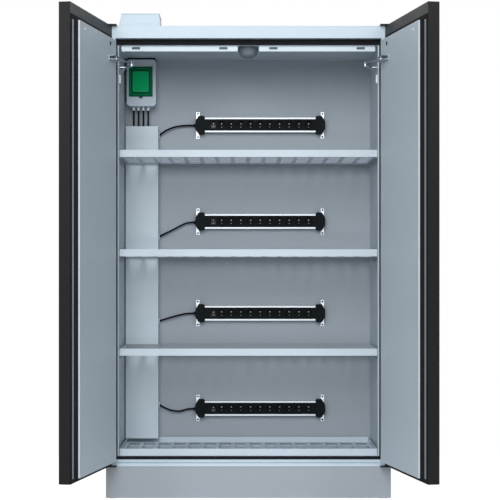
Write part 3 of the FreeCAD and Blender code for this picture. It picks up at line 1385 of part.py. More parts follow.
def door(side, word):
    """One insulated door: outer skin, core, inner panel with its rim, and the seals."""
    skin_x = span(side, *SKIN_X)
    hinge_x = f"{side} * {HINGE_X}"
    bush = "(hinge_pin_radius + hinge_running_gap + bush_wall)"

    outer = block("skin_outer_" + word, skin_x, (SKIN_FRONT, SKIN_BACK), SKIN_Z)
    hollow = block("skin_hollow_" + word, grown(skin_x, "-sheet"),
                   (f"{SKIN_FRONT} + sheet", f"{SKIN_BACK} - sheet"), grown(SKIN_Z, "-sheet"))
    core_x = grown(span(side, *PLUG_X), "-core_inset")
    core_z = grown(PLUG_Z, "-core_inset")
    window = block("skin_window_" + word, grown(core_x, "fit_gap"),
                   (f"{SKIN_BACK} - 2 * sheet", f"{SKIN_BACK} + 1"), grown(core_z, "fit_gap"))
    bores = [rod(f"skin_{level}_bore_{word}", (hinge_x, HINGE_Y, start), f"{bush} + fit_gap", "sheet + 2")
             for level, start in (("low", "door_bottom - 1"), ("top", f"{DOOR_TOP} - sheet - 1"))]
    cup_holes = []
    if side > 0:
        cup_holes.append(block("skin_cup_hole", grown(cup_ends(), "fit_gap"),
                               (f"{SKIN_FRONT} - 1", f"{SKIN_FRONT} + 2 * sheet"), grown(CUP_Z, "fit_gap")))
    shell = cut("door_skin_shell_" + word, outer, hollow, window, *bores, *cup_holes)
    door_node("door_skin_" + word, side, shell)

    slab = block("core_slab_" + word, grown(skin_x, "-sheet - fit_gap"),
                 (f"{SKIN_FRONT} + sheet + fit_gap", f"{SKIN_BACK} - sheet - fit_gap"),
                 grown(SKIN_Z, "-sheet - fit_gap"))
    plug = block("core_plug_" + word, core_x,
                 (f"{SKIN_BACK} - 2 * sheet", f"{PANEL_BACK} - liner_sheet - fit_gap"), core_z)
    sockets = [rod("core_low_socket_" + word, (hinge_x, HINGE_Y, "door_bottom"), f"{bush} + fit_gap",
                   "hinge_pin_reach + 4"),
               rod("core_top_socket_" + word, (hinge_x, HINGE_Y, f"{DOOR_TOP} - hinge_pin_reach - 4"),
                   f"{bush} + fit_gap", "hinge_pin_reach + 4")]
    cup_spaces = []
    if side > 0:
        cup_spaces.append(block("core_cup_space", grown(cup_ends(), "fit_gap"),
                                (SKIN_FRONT, f"{SKIN_FRONT} + cup_depth + fit_gap"), grown(CUP_Z, "fit_gap")))
    core = fuse("core_whole_" + word, slab, plug)
    door_node("door_core_" + word, side, cut("door_core_board_" + word, core, *sockets, *cup_spaces))

    plug_inner = (grown(span(1, *PLUG_X), "fit_gap - core_inset"), grown(PLUG_Z, "fit_gap - core_inset"))
    rim = sided_ring("door_rim_" + word, side, (PLUG_X, PLUG_Z), plug_inner, RIM_FRONT, RIM_BACK)
    panel_x = grown(span(side, *PLUG_X), "-panel_inset")
    panel = pan("door_panel_tray_" + word, "XZ_Plane", panel_x, grown(PLUG_Z, "-panel_inset"),
                f"-{PANEL_BACK}", "liner_sheet", "panel_thickness - fit_gap", False)
    door_node("door_panel_" + word, side, rim, panel)

    gasket_outer = (grown(PLUG_X, "-gasket_inset"), grown(PLUG_Z, "-gasket_inset"))
    gasket = sided_ring("door_gasket_" + word, side, gasket_outer, plug_inner,
                        f"{RIM_BACK} + fit_gap", GASKET_BACK)
    strip_outer = (("door_middle_gap + skin_edge_gap", f"{PLUG_X[1]} + fire_strip_gap + fire_strip_width"),
                   ("door_bottom + skin_edge_gap", f"{PLUG_Z[1]} + fire_strip_gap + fire_strip_width"))
    strip_inner = (grown(PLUG_X, "fire_strip_gap"), grown(PLUG_Z, "fire_strip_gap"))
    strip = sided_ring("door_fire_strip_" + word, side, strip_outer, strip_inner, RIM_FRONT,
                       f"{RIM_FRONT} + fire_strip_thickness")
    door_node("door_seal_" + word, side, gasket, strip)


def door_fittings(side, word):
    """The closer's clevis on the inner panel, the hinge bushes and, on the right, the handle cup."""
    hinge_x = f"{side} * {HINGE_X}"
    face = f"({PANEL_BACK} + fit_gap)"
    across = span(side, f"{HINGE_X} - clevis_start - clevis_length", f"{HINGE_X} - clevis_start")
    low = f"({LINK_HEIGHT} + link_thickness / 2 - clevis_gap / 2 - clevis_plate)"
    high = f"({LINK_HEIGHT} + link_thickness / 2 + clevis_gap / 2 + clevis_plate)"
    back_plate = block("clevis_back_" + word, across, (face, f"{face} + clevis_plate"), (low, high))
    reach = f"{face} + clevis_plate + clevis_reach"
    lower = block("clevis_lower_" + word, across, (face, reach), (low, f"{low} + clevis_plate"))
    upper = block("clevis_upper_" + word, across, (face, reach), (f"{high} - clevis_plate", high))
    pin = rod("clevis_pin_" + word, (f"{side} * ({HINGE_X} - closer_arm_out)", f"{HINGE_Y} + closer_arm_in",
                                     f"{low} - 1.5"), "closer_pin_radius", f"{high} - {low} + 3")
    clevis = fuse("clevis_" + word, back_plate, lower, upper, pin)
    bush = "(hinge_pin_radius + hinge_running_gap + bush_wall)"
    bore = "hinge_pin_radius + hinge_running_gap"
    pieces = [clevis]
    for level, start in (("low", "door_bottom"), ("top", f"{DOOR_TOP} - hinge_pin_reach - 2")):
        sleeve = rod(f"bush_outer_{level}_{word}", (hinge_x, HINGE_Y, start), bush, "hinge_pin_reach + 2")
        hole = rod(f"bush_hole_{level}_{word}", (hinge_x, HINGE_Y, f"{start} - 1"), bore,
                   "hinge_pin_reach + 4")
        pieces.append(cut(f"bush_{level}_{word}", sleeve, hole))
    if side > 0:
        pieces.append(handle_cup())
    door_node("door_fittings_" + word, side, *pieces)


PADDLE_X = (f"{cup_ends()[0]} + cup_sheet + 14", f"{cup_ends()[0]} + cup_sheet + 14 + paddle_width")
PADDLE_AXIS = (f"({PADDLE_X[1]} - paddle_pin_radius)", f"({SKIN_FRONT} + 1 + paddle_pin_radius)")
PADDLE_TOP = "(cup_centre + cup_tall / 2 - cup_sheet - paddle_gap)"
LOCK_PLACE = (f"({cup_ends()[0]} + cup_width / 2)", "(cup_centre - lock_drop)")


def handle_cup():
    """The dished recess for the handle, with bores for the paddle's pin and the lock cylinder."""
    outer = block("cup_outer", cup_ends(), (f"{SKIN_FRONT}", f"{SKIN_FRONT} + cup_depth"), CUP_Z)
    inner = block("cup_inner", grown(cup_ends(), "-cup_sheet"),
                  (f"{SKIN_FRONT} - 1", f"{SKIN_FRONT} + cup_depth - cup_sheet"), grown(CUP_Z, "-cup_sheet"))
    pin_post = block("cup_post", (f"{cup_ends()[1]} - cup_sheet - 10", f"{cup_ends()[1]} - cup_sheet / 2"),
                     (f"{SKIN_FRONT}", f"{SKIN_FRONT} + cup_depth - cup_sheet / 2"),
                     (f"{PADDLE_TOP} - paddle_tall - 8", f"{PADDLE_TOP} - paddle_tall - paddle_gap"))
    pin_hole = rod("cup_pin_hole", (*PADDLE_AXIS, f"{PADDLE_TOP} - paddle_tall - 20"),
                   "paddle_pin_radius + hinge_running_gap", "paddle_tall + 40")
    collar = rod("cup_lock_collar", (LOCK_PLACE[0], f"{SKIN_FRONT} + 4", LOCK_PLACE[1]),
                 "lock_radius + lock_running_gap + 3", "cup_depth - 4 - cup_sheet / 2", "y")
    lock_hole = rod("cup_lock_hole", (LOCK_PLACE[0], f"{SKIN_FRONT} - 1", LOCK_PLACE[1]),
                    "lock_radius + lock_running_gap", "cup_depth - cup_sheet + 1", "y")
    shell = fuse("cup_shell", cut("cup_tray", outer, inner), pin_post, collar)
    return cut("handle_cup", shell, pin_hole, lock_hole)


def door_handle():
    """The pull paddle on its upright pin."""
    plate = block("paddle_plate", PADDLE_X, (f"{SKIN_FRONT} + 1", f"{SKIN_FRONT} + 1 + paddle_thickness"),
                  (f"{PADDLE_TOP} - paddle_tall", PADDLE_TOP))
    hook = block("paddle_hook", (PADDLE_X[0], f"{PADDLE_X[0]} + 4"),
                 (f"{SKIN_FRONT} + 1", f"{SKIN_FRONT} + 13"), (f"{PADDLE_TOP} - paddle_tall", PADDLE_TOP))
    knuckle = rod("paddle_knuckle", (*PADDLE_AXIS, f"{PADDLE_TOP} - paddle_tall"), "paddle_pin_radius + 1.5",
                  "paddle_tall")
    pin = rod("paddle_pin", (*PADDLE_AXIS, f"{PADDLE_TOP} - paddle_tall - 7"), "paddle_pin_radius",
              "paddle_tall + 7 + paddle_gap + cup_sheet / 2")
    door_node("door_handle", 1, fuse("paddle_whole", plate, hook, knuckle, pin))


def lock_cylinder():
    """The key cylinder in the handle cup, with its keyway."""
    body = rod("lock_body", (LOCK_PLACE[0], f"{SKIN_FRONT} + 3", LOCK_PLACE[1]), "lock_radius",
               "cup_depth - cup_sheet - 3 - fit_gap", "y")
    keyway = block("lock_keyway", (f"{LOCK_PLACE[0]} - 1", f"{LOCK_PLACE[0]} + 1"),
                   (f"{SKIN_FRONT} + 2", f"{SKIN_FRONT} + 9"),
                   (f"{LOCK_PLACE[1]} - 4.5", f"{LOCK_PLACE[1]} + 4.5"))
    door_node("lock_cylinder", 1, cut("lock_cylinder_cut", body, keyway))


# Door closer linkage: a parallelogram of cabinet post, lever, link and door clevis

CRANK_LENGTH = "sqrt(closer_arm_out ^ 2 + closer_arm_in ^ 2)"
LINK_LENGTH = "sqrt(closer_post_in ^ 2 + closer_post_back ^ 2)"


def closer_brackets():
    """Angle brackets on the side walls that carry the levers' pins."""
    pieces = []
    for side, word in ((1, "right"), (-1, "left")):
        post_x = f"({HINGE_X} - closer_post_in)"
        post_y = f"({HINGE_Y} + closer_post_back)"
        wall = f"({HALF_INNER} - fit_gap)"
        plate_low = f"({LEVER_HEIGHT} + post_plate_rise)"
        back = (f"{post_y} - post_plate_width / 2", f"{post_y} + post_plate_width / 2")
        plate = block("post_plate_" + word, span(side, f"{post_x} - 12", wall), back,
                      (plate_low, f"{plate_low} + post_plate"))
        leg = block("post_leg_" + word, span(side, f"{wall} - post_plate", wall), back,
                    (f"{plate_low} + post_plate - post_leg", f"{plate_low} + post_plate"))
        centre = f"{side} * {post_x}"
        pin = rod("post_pin_" + word, (centre, post_y, f"{LEVER_HEIGHT} - 3"), "closer_pin_radius",
                  "post_plate_rise + post_plate + 3")
        head = rod("post_head_" + word, (centre, post_y, f"{LEVER_HEIGHT} - 3"), "closer_pin_radius + 2.5",
                   "3 - fit_gap")
        pieces.append(fuse("closer_bracket_" + word, plate, leg, pin, head))
    node("closer_brackets", *pieces)


def bar(name, length, half_width, thickness, near_bore, far_bore):
    """A flat bar with rounded ends along X from the origin, bored at one or both ends."""
    solids = [block(name + "_web", ("0", length), (f"-{half_width}", half_width), ("0", thickness)),
              rod(name + "_near_end", ("0", "0", "0"), half_width, thickness),
              rod(name + "_far_end", (length, "0", "0"), half_width, thickness)]
    bores = [rod(name + "_near_bore", ("0", "0", "-1"), near_bore, f"{thickness} + 2")]
    if far_bore:
        bores.append(rod(name + "_far_bore", (length, "0", "-1"), far_bore, f"{thickness} + 2"))
    return cut(name + "_bar", fuse(name + "_flat", *solids), *bores)


def crank_angle(side):
    """The direction of lever and clevis arm at rest, seen from above."""
    closed = f"(180 - atan(closer_arm_in / closer_arm_out) / 1deg)"
    turned_by = f"({closed} + door_rest)"
    return turned_by if side > 0 else f"(180 - {turned_by})"


def closer(side, word):
    """One lever on the cabinet's post and one link from the lever's end to the door's clevis."""
    post = (f"({side} * ({HINGE_X} - closer_post_in))", f"({HINGE_Y} + closer_post_back)")
    angle = crank_angle(side)
    running = "closer_pin_radius + closer_running_gap"
    lever = bar("lever_" + word, CRANK_LENGTH, "lever_half_width", "lever_thickness", running, None)
    shoulder = rod("lever_shoulder_" + word, (CRANK_LENGTH, "0", "0"), "closer_pin_radius + 2",
                   "link_rise - fit_gap")
    pin = rod("lever_pin_" + word, (CRANK_LENGTH, "0", "0"), "closer_pin_radius",
              "link_rise + link_thickness + 3")
    head = rod("lever_head_" + word, (CRANK_LENGTH, "0", "link_rise + link_thickness + fit_gap"),
               "closer_pin_radius + 2", "3 - fit_gap")
    whole = fuse("lever_whole_" + word, lever, shoulder, pin, head)
    whole.Placement = Placement(Vector(), Rotation(Vector(0, 0, 1), 1))
    bind(whole, "Placement.Rotation.Angle", angle)
    place(whole, post[0], post[1], LEVER_HEIGHT)
    node("closer_lever_" + word, whole)

    link = bar("link_" + word, LINK_LENGTH, "link_half_width", "link_thickness", running,
               "closer_pin_radius + open_pivot_gap")
    link.Placement = Placement(Vector(), Rotation(Vector(0, 0, 1), 1))
    towards = "(atan(closer_post_back / closer_post_in) / 1deg)"
    bind(link, "Placement.Rotation.Angle", f"-{towards}" if side > 0 else f"180 + {towards}")
    place(link, f"{post[0]} + {CRANK_LENGTH} * cos({angle})", f"{post[1]} + {CRANK_LENGTH} * sin({angle})",
          LINK_HEIGHT)
    node("closer_link_" + word, link)


# The whole cabinet

side_panels()
rear_panel()
end_panel("roof_panel", "body_height", "roof_flange", True, SPIGOT)
end_panel("floor_panel", "plinth_top", "floor_panel_flange", False)
front_frame()
frame_seal()
insulation_boards()
liner_walls()
liner_floor_and_ceiling()
base_frame()
plinth_cover()
levelling_feet()
sump_tray()
sump_grating()
for shelf_name, shelf_top in zip(("shelf_upper", "shelf_middle", "shelf_lower"), SHELF_TOPS):
    shelf(shelf_name, shelf_top)
shelf_supports()
cable_duct()
cable_glands()
supply_tails()
distribution_box()
box_flap()
earth_leakage_breaker()
breaker_toggle()
ceiling_rails()
smoke_detector()
door_contacts()
strip_profiles()
strip_sockets()
strip_end_caps()
node("strip_brackets", *strip_brackets())
rockers()
power_leads()
roof_junction_box()
exhaust_spigot()
hinge_plates()
closer_brackets()
for door_side, door_word in ((-1, "left"), (1, "right")):
    door(door_side, door_word)
    door_fittings(door_side, door_word)
    closer(door_side, door_word)
door_handle()
lock_cylinder()

doc.recompute()

# Check every object and write one file for each piece

for item in doc.Objects:
    if "Invalid" in item.State or "Error" in item.State:
        raise RuntimeError(f"{item.Name} failed: {item.State}")

os.makedirs("parts", exist_ok=True)
for name, item in NODES.items():
    shape = item.Shape
    if shape.isNull() or not shape.isValid() or not shape.Solids:
        raise RuntimeError(f"{name} has no valid solid")
    shape.exportStep(f"parts/{name}.step")
print(len(NODES), "nodes,", sum(len(item.Shape.Solids) for item in NODES.values()), "solids")
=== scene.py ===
import json
import math
import bpy
from mathutils import Matrix, Vector


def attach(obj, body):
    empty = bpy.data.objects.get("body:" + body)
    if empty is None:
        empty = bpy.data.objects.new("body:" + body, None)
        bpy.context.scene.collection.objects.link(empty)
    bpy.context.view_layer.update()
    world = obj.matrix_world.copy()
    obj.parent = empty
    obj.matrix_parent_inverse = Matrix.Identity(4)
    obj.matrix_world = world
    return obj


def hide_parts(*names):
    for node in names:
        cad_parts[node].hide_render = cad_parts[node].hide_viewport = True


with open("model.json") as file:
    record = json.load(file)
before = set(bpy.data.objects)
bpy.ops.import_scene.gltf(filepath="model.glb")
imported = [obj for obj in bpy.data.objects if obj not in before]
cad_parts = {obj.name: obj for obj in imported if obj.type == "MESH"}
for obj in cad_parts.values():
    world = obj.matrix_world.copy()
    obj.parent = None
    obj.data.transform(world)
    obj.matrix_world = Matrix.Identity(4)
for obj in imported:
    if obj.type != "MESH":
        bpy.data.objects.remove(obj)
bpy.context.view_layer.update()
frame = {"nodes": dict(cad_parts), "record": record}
nodes = frame["nodes"]

# Sizes in metres, in the row frame. FRONT is where the body's front face stands.
FRONT = 0.012541

# Socket strips, from the top down, and the leads that run from them into the duct
STRIP_HEIGHTS = (1.614, 1.179, 0.765, 0.336)
STRIP_FACE = FRONT + 0.485
INSERT_FACE = STRIP_FACE + 0.001
SOCKET_FIRST = -0.1186
SOCKET_PITCH = 0.0436
SOCKET_COUNT = 10
SOCKET_DEPTH = 0.015
CONTACT_OFFSET = 0.0095
# A grey dot this far above each socket's centre is a painted highlight
HIGHLIGHT_DOT_RISE = 0.006
EAR_FACE = FRONT + 0.5127
EAR_PLACES = (-0.226, 0.337)
EAR_SCREW_RISE = 0.052
EAR_SCREW_RADIUS = 0.0045
ROCKER_PIVOT = (-0.1555, INSERT_FACE + 0.008)
ROCKER_TILT = 8
LENS_FORWARD = 0.0087
MARK_FORWARD = 0.0088
LENS_RISE = 0.0065
LEAD_DEPTH = FRONT + 0.499
LEAD_INTO_DUCT = -0.409
LEAD_DIAMETER = 0.0084

# Doors: which side is which, the hinge line, the angle at rest, and the plug and screw in the inner panel
DOORS = ((-1, "left"), (1, "right"))
HINGE = (0.5865, FRONT - 0.018)
DOOR_REST = 100.5
DOOR_PANEL = FRONT + 0.028
PLUG_FROM_HINGE = 0.130
PANEL_SCREW_FROM_HINGE = 0.498
PANEL_SCREW_RADIUS = 0.0055
PLUG_HEIGHT = 1.886

# The green flap: its outline, its face, and the beads round its raised pad and its border, raised beads
# whose lighter green is a painted highlight along those edges
FLAP_X = (-0.531, -0.426)
FLAP_Z = (1.735, 1.866)
FLAP_FACE = FRONT + 0.4177
PAD_RISE = 0.003
PAD_INSET = (0.0185, 0.0220)
PAD_CORNER = 0.008
PAD_BEAD = 0.0014
BORDER_INSET = (0.0065, 0.0075)
BORDER_CORNER = 0.006
BORDER_BEAD = 0.0010

# Where the faces with another tone begin or end, across or in depth: mostly faces with painted shade and
# light, and the flap's lighter pad
RIM_BACK = FRONT + 0.0045
FRAME_LIP = (0.53, 0.5565)
SIDE_WALLS_FROM = 0.5525
REAR_LIPS_FROM = FRONT + 0.35
PAD_FOOT = FLAP_FACE - 0.0005

# Light and camera
WORLD_STRENGTH = 0.21
LAMP_COLOR = (0.97, 0.99, 1.0)
CAMERA_ACROSS = -0.030
CAMERA_DISTANCE = 6.4
CAMERA_HEIGHT = 0.951


# Materials

def shader(name):
    """A new material with its node tree emptied down to one shader and the output."""
    material = bpy.data.materials.new(name)
    material.use_nodes = True
    tree = material.node_tree
    tree.nodes.clear()
    output = tree.nodes.new("ShaderNodeOutputMaterial")
    bsdf = tree.nodes.new("ShaderNodeBsdfPrincipled")
    tree.links.new(bsdf.outputs["BSDF"], output.inputs["Surface"])
    return material, tree, bsdf


def noise(tree, scale, detail=3.0, stretch=(1, 1, 1)):
    """A noise texture on the object's own coordinates."""
    place = tree.nodes.new("ShaderNodeTexCoord")
    mapping = tree.nodes.new("ShaderNodeMapping")
    mapping.inputs["Scale"].default_value = stretch
    texture = tree.nodes.new("ShaderNodeTexNoise")
    texture.inputs["Scale"].default_value = scale
    texture.inputs["Detail"].default_value = detail
    tree.links.new(place.outputs["Object"], mapping.inputs["Vector"])
    tree.links.new(mapping.outputs["Vector"], texture.inputs["Vector"])
    return texture.outputs["Fac"]


def ramp(tree, value, low, high):
    """A value from 0 to 1 carried to the range from low to high."""
    remap = tree.nodes.new("ShaderNodeMapRange")
    remap.inputs["To Min"].default_value = low
    remap.inputs["To Max"].default_value = high
    tree.links.new(value, remap.inputs["Value"])
    return remap.outputs["Result"]


def mixed(tree, factor, first, second):
    """Two colours mixed by a factor."""
    mix = tree.nodes.new("ShaderNodeMix")
    mix.data_type = "RGBA"
    mix.inputs["A"].default_value = (*first, 1)
    mix.inputs["B"].default_value = (*second, 1)
    tree.links.new(factor, mix.inputs["Factor"])
    return mix.outputs["Result"]


def bumped(tree, bsdf, height, distance, strength, edge=0.0):
    """Fine relief, over edges rounded off in the shading."""
    bump = tree.nodes.new("ShaderNodeBump")
    bump.inputs["Strength"].default_value = strength
    bump.inputs["Distance"].default_value = distance
    tree.links.new(height, bump.inputs["Height"])
    if edge:
        bevel = tree.nodes.new("ShaderNodeBevel")
        bevel.samples = 4
        bevel.inputs["Radius"].default_value = edge
        tree.links.new(bevel.outputs["Normal"], bump.inputs["Normal"])
    tree.links.new(bump.outputs["Normal"], bsdf.inputs["Normal"])


def paint(name, color, roughness=0.42, edge=0.0012, specular=0.5):
    """Powder coat: a fine orange-peel relief and a slow, slight change of tone."""
    material, tree, bsdf = shader(name)
    bsdf.inputs["Specular IOR Level"].default_value = specular
    darker = tuple(channel * 0.94 for channel in color)
    tree.links.new(mixed(tree, noise(tree, 1.6, 2.0), darker, color), bsdf.inputs["Base Color"])
    gloss = ramp(tree, noise(tree, 14.0), roughness - 0.05, roughness + 0.07)
    tree.links.new(gloss, bsdf.inputs["Roughness"])
    bumped(tree, bsdf, noise(tree, 900.0, 2.0), 0.0002, 0.12, edge)
    return material


def metal(name, color, roughness=0.3, stretch=(1, 1, 60)):
    """Bare metal with fine lines along its length."""
    material, tree, bsdf = shader(name)
    bsdf.inputs["Metallic"].default_value = 1.0
    bsdf.inputs["Base Color"].default_value = (*color, 1)
    lines = noise(tree, 40.0, 4.0, stretch)
    tree.links.new(ramp(tree, lines, roughness - 0.07, roughness + 0.1), bsdf.inputs["Roughness"])
    bumped(tree, bsdf, lines, 0.0001, 0.1, 0.0006)
    return material


def plastic(name, color, roughness=0.45, grain=0.15, coat=0.0, specular=0.5):
    """Moulded plastic with a fine grain."""
    material, tree, bsdf = shader(name)
    bsdf.inputs["Specular IOR Level"].default_value = specular
    bsdf.inputs["Base Color"].default_value = (*color, 1)
    bsdf.inputs["Coat Weight"].default_value = coat
    bsdf.inputs["Coat Roughness"].default_value = 0.08
    gloss = ramp(tree, noise(tree, 60.0), roughness - 0.06, roughness + 0.08)
    tree.links.new(gloss, bsdf.inputs["Roughness"])
    bumped(tree, bsdf, noise(tree, 1500.0, 1.0), 0.0001, grain, 0.0008)
    return material


def rubber(name, color):
    """Dull rubber, a little dusty."""
    material, tree, bsdf = shader(name)
    dusty = tuple(channel * 1.6 + 0.002 for channel in color)
    tree.links.new(mixed(tree, noise(tree, 30.0), color, dusty), bsdf.inputs["Base Color"])
    bsdf.inputs["Roughness"].default_value = 0.72
    bsdf.inputs["Specular IOR Level"].default_value = 0.06
    bumped(tree, bsdf, noise(tree, 700.0), 0.0002, 0.3)
    return material


def board(name, color):
    """Pressed fire board with short fibres."""
    material, tree, bsdf = shader(name)
    darker = tuple(channel * 0.8 for channel in color)
    tree.links.new(mixed(tree, noise(tree, 250.0, 5.0), darker, color), bsdf.inputs["Base Color"])
    bsdf.inputs["Roughness"].default_value = 0.9
    bumped(tree, bsdf, noise(tree, 400.0, 5.0), 0.0005, 0.5)
    return material


MATERIALS = {
    "body_grey": paint("body_grey", (0.52, 0.60, 0.67)),
    "frame_white": paint("frame_white", (0.58, 0.69, 0.77)),
    "liner_grey": paint("liner_grey", (0.355, 0.395, 0.435), 0.5, specular=0.3),
    "shelf_grey": paint("shelf_grey", (0.58, 0.66, 0.73), 0.45),
    "duct_grey": paint("duct_grey", (0.56, 0.64, 0.70), 0.45, specular=0.4),
    "plinth_grey": paint("plinth_grey", (0.345, 0.38, 0.42), 0.45),
    "door_anthracite": paint("door_anthracite", (0.006, 0.007, 0.008), 0.40, edge=0.0015, specular=0.15),
    "hinge_black": paint("hinge_black", (0.008, 0.008, 0.009), 0.45, specular=0.15),
    "rail_white": paint("rail_white", (0.64, 0.73, 0.78), 0.4),
    "fire_board": board("fire_board", (0.72, 0.71, 0.67)),
    "seal_black": rubber("seal_black", (0.009, 0.009, 0.0105)),
    "cable_black": plastic("cable_black", (0.003, 0.003, 0.004), 0.55, grain=0.25, specular=0.08),
    "zinc_steel": metal("zinc_steel", (0.50, 0.53, 0.57), 0.32),
    "aluminium": metal("aluminium", (0.60, 0.63, 0.66), 0.55, (60, 1, 1)),
    "chrome": metal("chrome", (0.80, 0.81, 0.82), 0.12),
    "white_plastic": plastic("white_plastic", (0.86, 0.89, 0.91)),
    "detector_grey": plastic("detector_grey", (0.15, 0.18, 0.20), 0.5, specular=0.3),
    "box_plastic": plastic("box_plastic", (0.50, 0.57, 0.64), specular=0.3),
    "black_plastic": plastic("black_plastic", (0.004, 0.006, 0.007), 0.55, grain=0.2, specular=0.08),
    "rocker_black": plastic("rocker_black", (0.009, 0.009, 0.010), 0.3, grain=0.05, specular=0.2),
    "handle_black": plastic("handle_black", (0.010, 0.010, 0.011), specular=0.2),
    "flap_green": plastic("flap_green", (0.0, 0.085, 0.034), 0.55, grain=0.04, specular=0.05),
}

# Tones of a few faces and details, beside the record's materials; the greys for the panels' rims, the
# shelves' rear lips, the frame's inner lip and the inner walls, ceiling and floor are painted shade and
# light, and the beads on the flap carry painted highlights
PAD_GREEN = plastic("pad_green", (0.0, 0.38, 0.125), 0.55, grain=0.04, specular=0.05)
# Painted highlight: a lighter green for the bead round the flap's raised pad, where its edge catches the
# light
PAD_HIGHLIGHT_GREEN = plastic("pad_highlight_green", (0.06, 0.42, 0.20), 0.5, grain=0.04, specular=0.08)
LENS = plastic("lens", (0.62, 0.60, 0.58), 0.2, grain=0.02, coat=0.6)
NICKEL = metal("nickel", (0.30, 0.28, 0.27), 0.35)
SCREW_BLACK = metal("screw_black", (0.03, 0.03, 0.032), 0.4)
DOOR_GREY = paint("door_grey", (0.54, 0.61, 0.67), 0.45, specular=0.35)
# Painted shade: a darker grey for the rims of the door panels, standing for the shade on their edges
RIM_SHADE_GREY = paint("rim_shade_grey", (0.22, 0.24, 0.26), 0.5, specular=0.3)
# Painted shade: a darker grey for the shelves' rear lips, which sit in shade behind the slots
REAR_LIP_SHADE_GREY = paint("rear_lip_shade_grey", (0.27, 0.305, 0.34), 0.5, specular=0.3)
# Painted light and shade: one grey for the liner's ceiling, floor and side walls, and, darker than the
# frame's paint, for the frame's inner lip
SHADING_GREY = paint("painted_shading_grey", (0.50, 0.56, 0.61), 0.5, specular=0.3)

for entry in frame["record"]["subparts"]:
    thing = nodes[entry["node"]]
    thing.data.materials.clear()
    thing.data.materials.append(MATERIALS[entry["material_slot"]])


def open_door(side):
    """What carries a closed door about its hinge to rest: side is 1 on the right and -1 on the left."""
    hinge = Matrix.Translation((side * HINGE[0], HINGE[1], 0))
    return hinge @ Matrix.Rotation(math.radians(side * DOOR_REST), 4, "Z")


def closed_depth(side, point):
    """How far back a point of an open door lies when the door is closed."""
    return (open_door(side).inverted() @ point).y + HINGE[1]


# Mask for the painted shade on the frame's inner lip
def on_frame_lip(face):
    """Whether a face of the frame belongs to its inner lip."""
    return FRAME_LIP[0] < abs(face.center.x) < FRAME_LIP[1]


# Mask for the painted shade on the shelves' rear lips
def on_rear_lip(face):
    """Whether a face of a shelf looks forwards from its rear lip."""
    return face.normal.y < -0.5 and face.center.y > REAR_LIPS_FROM


def repainted(name, material, wanted):
    """Give one more material to those faces of a node that a test picks."""
    data = nodes[name].data
    data.materials.append(material)
    for polygon in data.polygons:
        if wanted(polygon):
            polygon.material_index = len(data.materials) - 1


# The door panels take their own grey, and their rims get painted shade
for side, word in DOORS:
    nodes[f"door_panel_{word}"].data.materials[0] = DOOR_GREY
    repainted(f"door_panel_{word}", RIM_SHADE_GREY, lambda face: closed_depth(side, face.center) < RIM_BACK)
# Painted light and shade on the liner's ceiling and floor, the frame's inner lip and the inner side walls
nodes["liner_floor_and_ceiling"].data.materials[0] = SHADING_GREY
repainted("front_frame", SHADING_GREY, on_frame_lip)
repainted("liner_walls", SHADING_GREY, lambda face: abs(face.center.x) > SIDE_WALLS_FROM)
repainted("box_flap", PAD_GREEN, lambda face: face.center.y < PAD_FOOT)
# Painted shade on the rear lips of the shelves
for level in ("upper", "middle", "lower"):
    repainted(f"shelf_{level}", REAR_LIP_SHADE_GREY, on_rear_lip)


# Small meshes

def mesh_piece(name, solids, material, body):
    """One mesh of several solids that rides on a body, smooth but for its sharper edges."""
    vertices, faces = [], []
    for points, rings in solids:
        first = len(vertices)
        vertices.extend(points)
        faces.extend(tuple(first + index for index in ring) for ring in rings)
    data = bpy.data.meshes.new(name)
    data.from_pydata(vertices, [], faces)
    data.polygons.foreach_set("use_smooth", [True] * len(data.polygons))
    data.set_sharp_from_angle(angle=math.radians(35))
    data.update()
    thing = bpy.data.objects.new(name, data)
    bpy.context.scene.collection.objects.link(thing)
    data.materials.append(material)
    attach(thing, body)


def turned(profile, place, sides=20, closed=False):
    """A solid turned from pairs of radius and height; a closed profile makes a ring."""
    vertices = []
    for radius, height in profile:
        for step in range(sides):
            angle = 2 * math.pi * step / sides
            point = Vector((radius * math.cos(angle), radius * math.sin(angle), height))
            vertices.append(place @ point)
    rows = len(profile)
    faces = []
    for row in range(rows if closed else rows - 1):
        low, high = row * sides, (row + 1) % rows * sides
        for step in range(sides):
            after = (step + 1) % sides
            faces.append((low + step, low + after, high + after, high + step))
    if not closed:
        faces.append(tuple(reversed(range(sides))))
        faces.append(tuple(range((rows - 1) * sides, rows * sides)))
    return vertices, faces


def forwards(across, back, up):
    """A place whose own height points out of the cabinet, towards its front."""
    return Matrix.Translation((across, back, up)) @ Matrix.Rotation(math.radians(90), 4, "X")


def on_door(side, from_hinge, back, up):
    """A place on the inside of a door at rest, whose own height points away from the door."""
    closed = Matrix.Translation((side * -from_hinge, back - HINGE[1], up))
    return open_door(side) @ closed @ Matrix.Rotation(math.radians(-90), 4, "X")


def screw(radius, place):
    """A pan head with the recess for the driver."""
    height = radius * 0.55
    profile = [(radius, -0.0002), (radius, height * 0.35), (radius * 0.86, height * 0.8),
               (radius * 0.55, height), (radius * 0.42, height), (radius * 0.34, height * 0.45)]
    return turned(profile, place)


# Socket strips: profiles as pairs of radius and height from the face that each detail stands on

LINER = [(0.0206, 0.0), (0.0206, 0.0005), (0.0200, 0.0009), (0.0186, 0.0007), (0.0182, -0.0005),
         (0.0181, -0.0145), (0.0185, -0.0145), (0.0185, 0.0)]
HOLE_RIM = [(0.0036, -0.0002), (0.0034, 0.0006), (0.0027, 0.0006), (0.0024, -0.0002)]
EARTH_PIN = [(0.0024, -0.0002), (0.0024, 0.0100), (0.0020, 0.0118), (0.0011, 0.0128)]
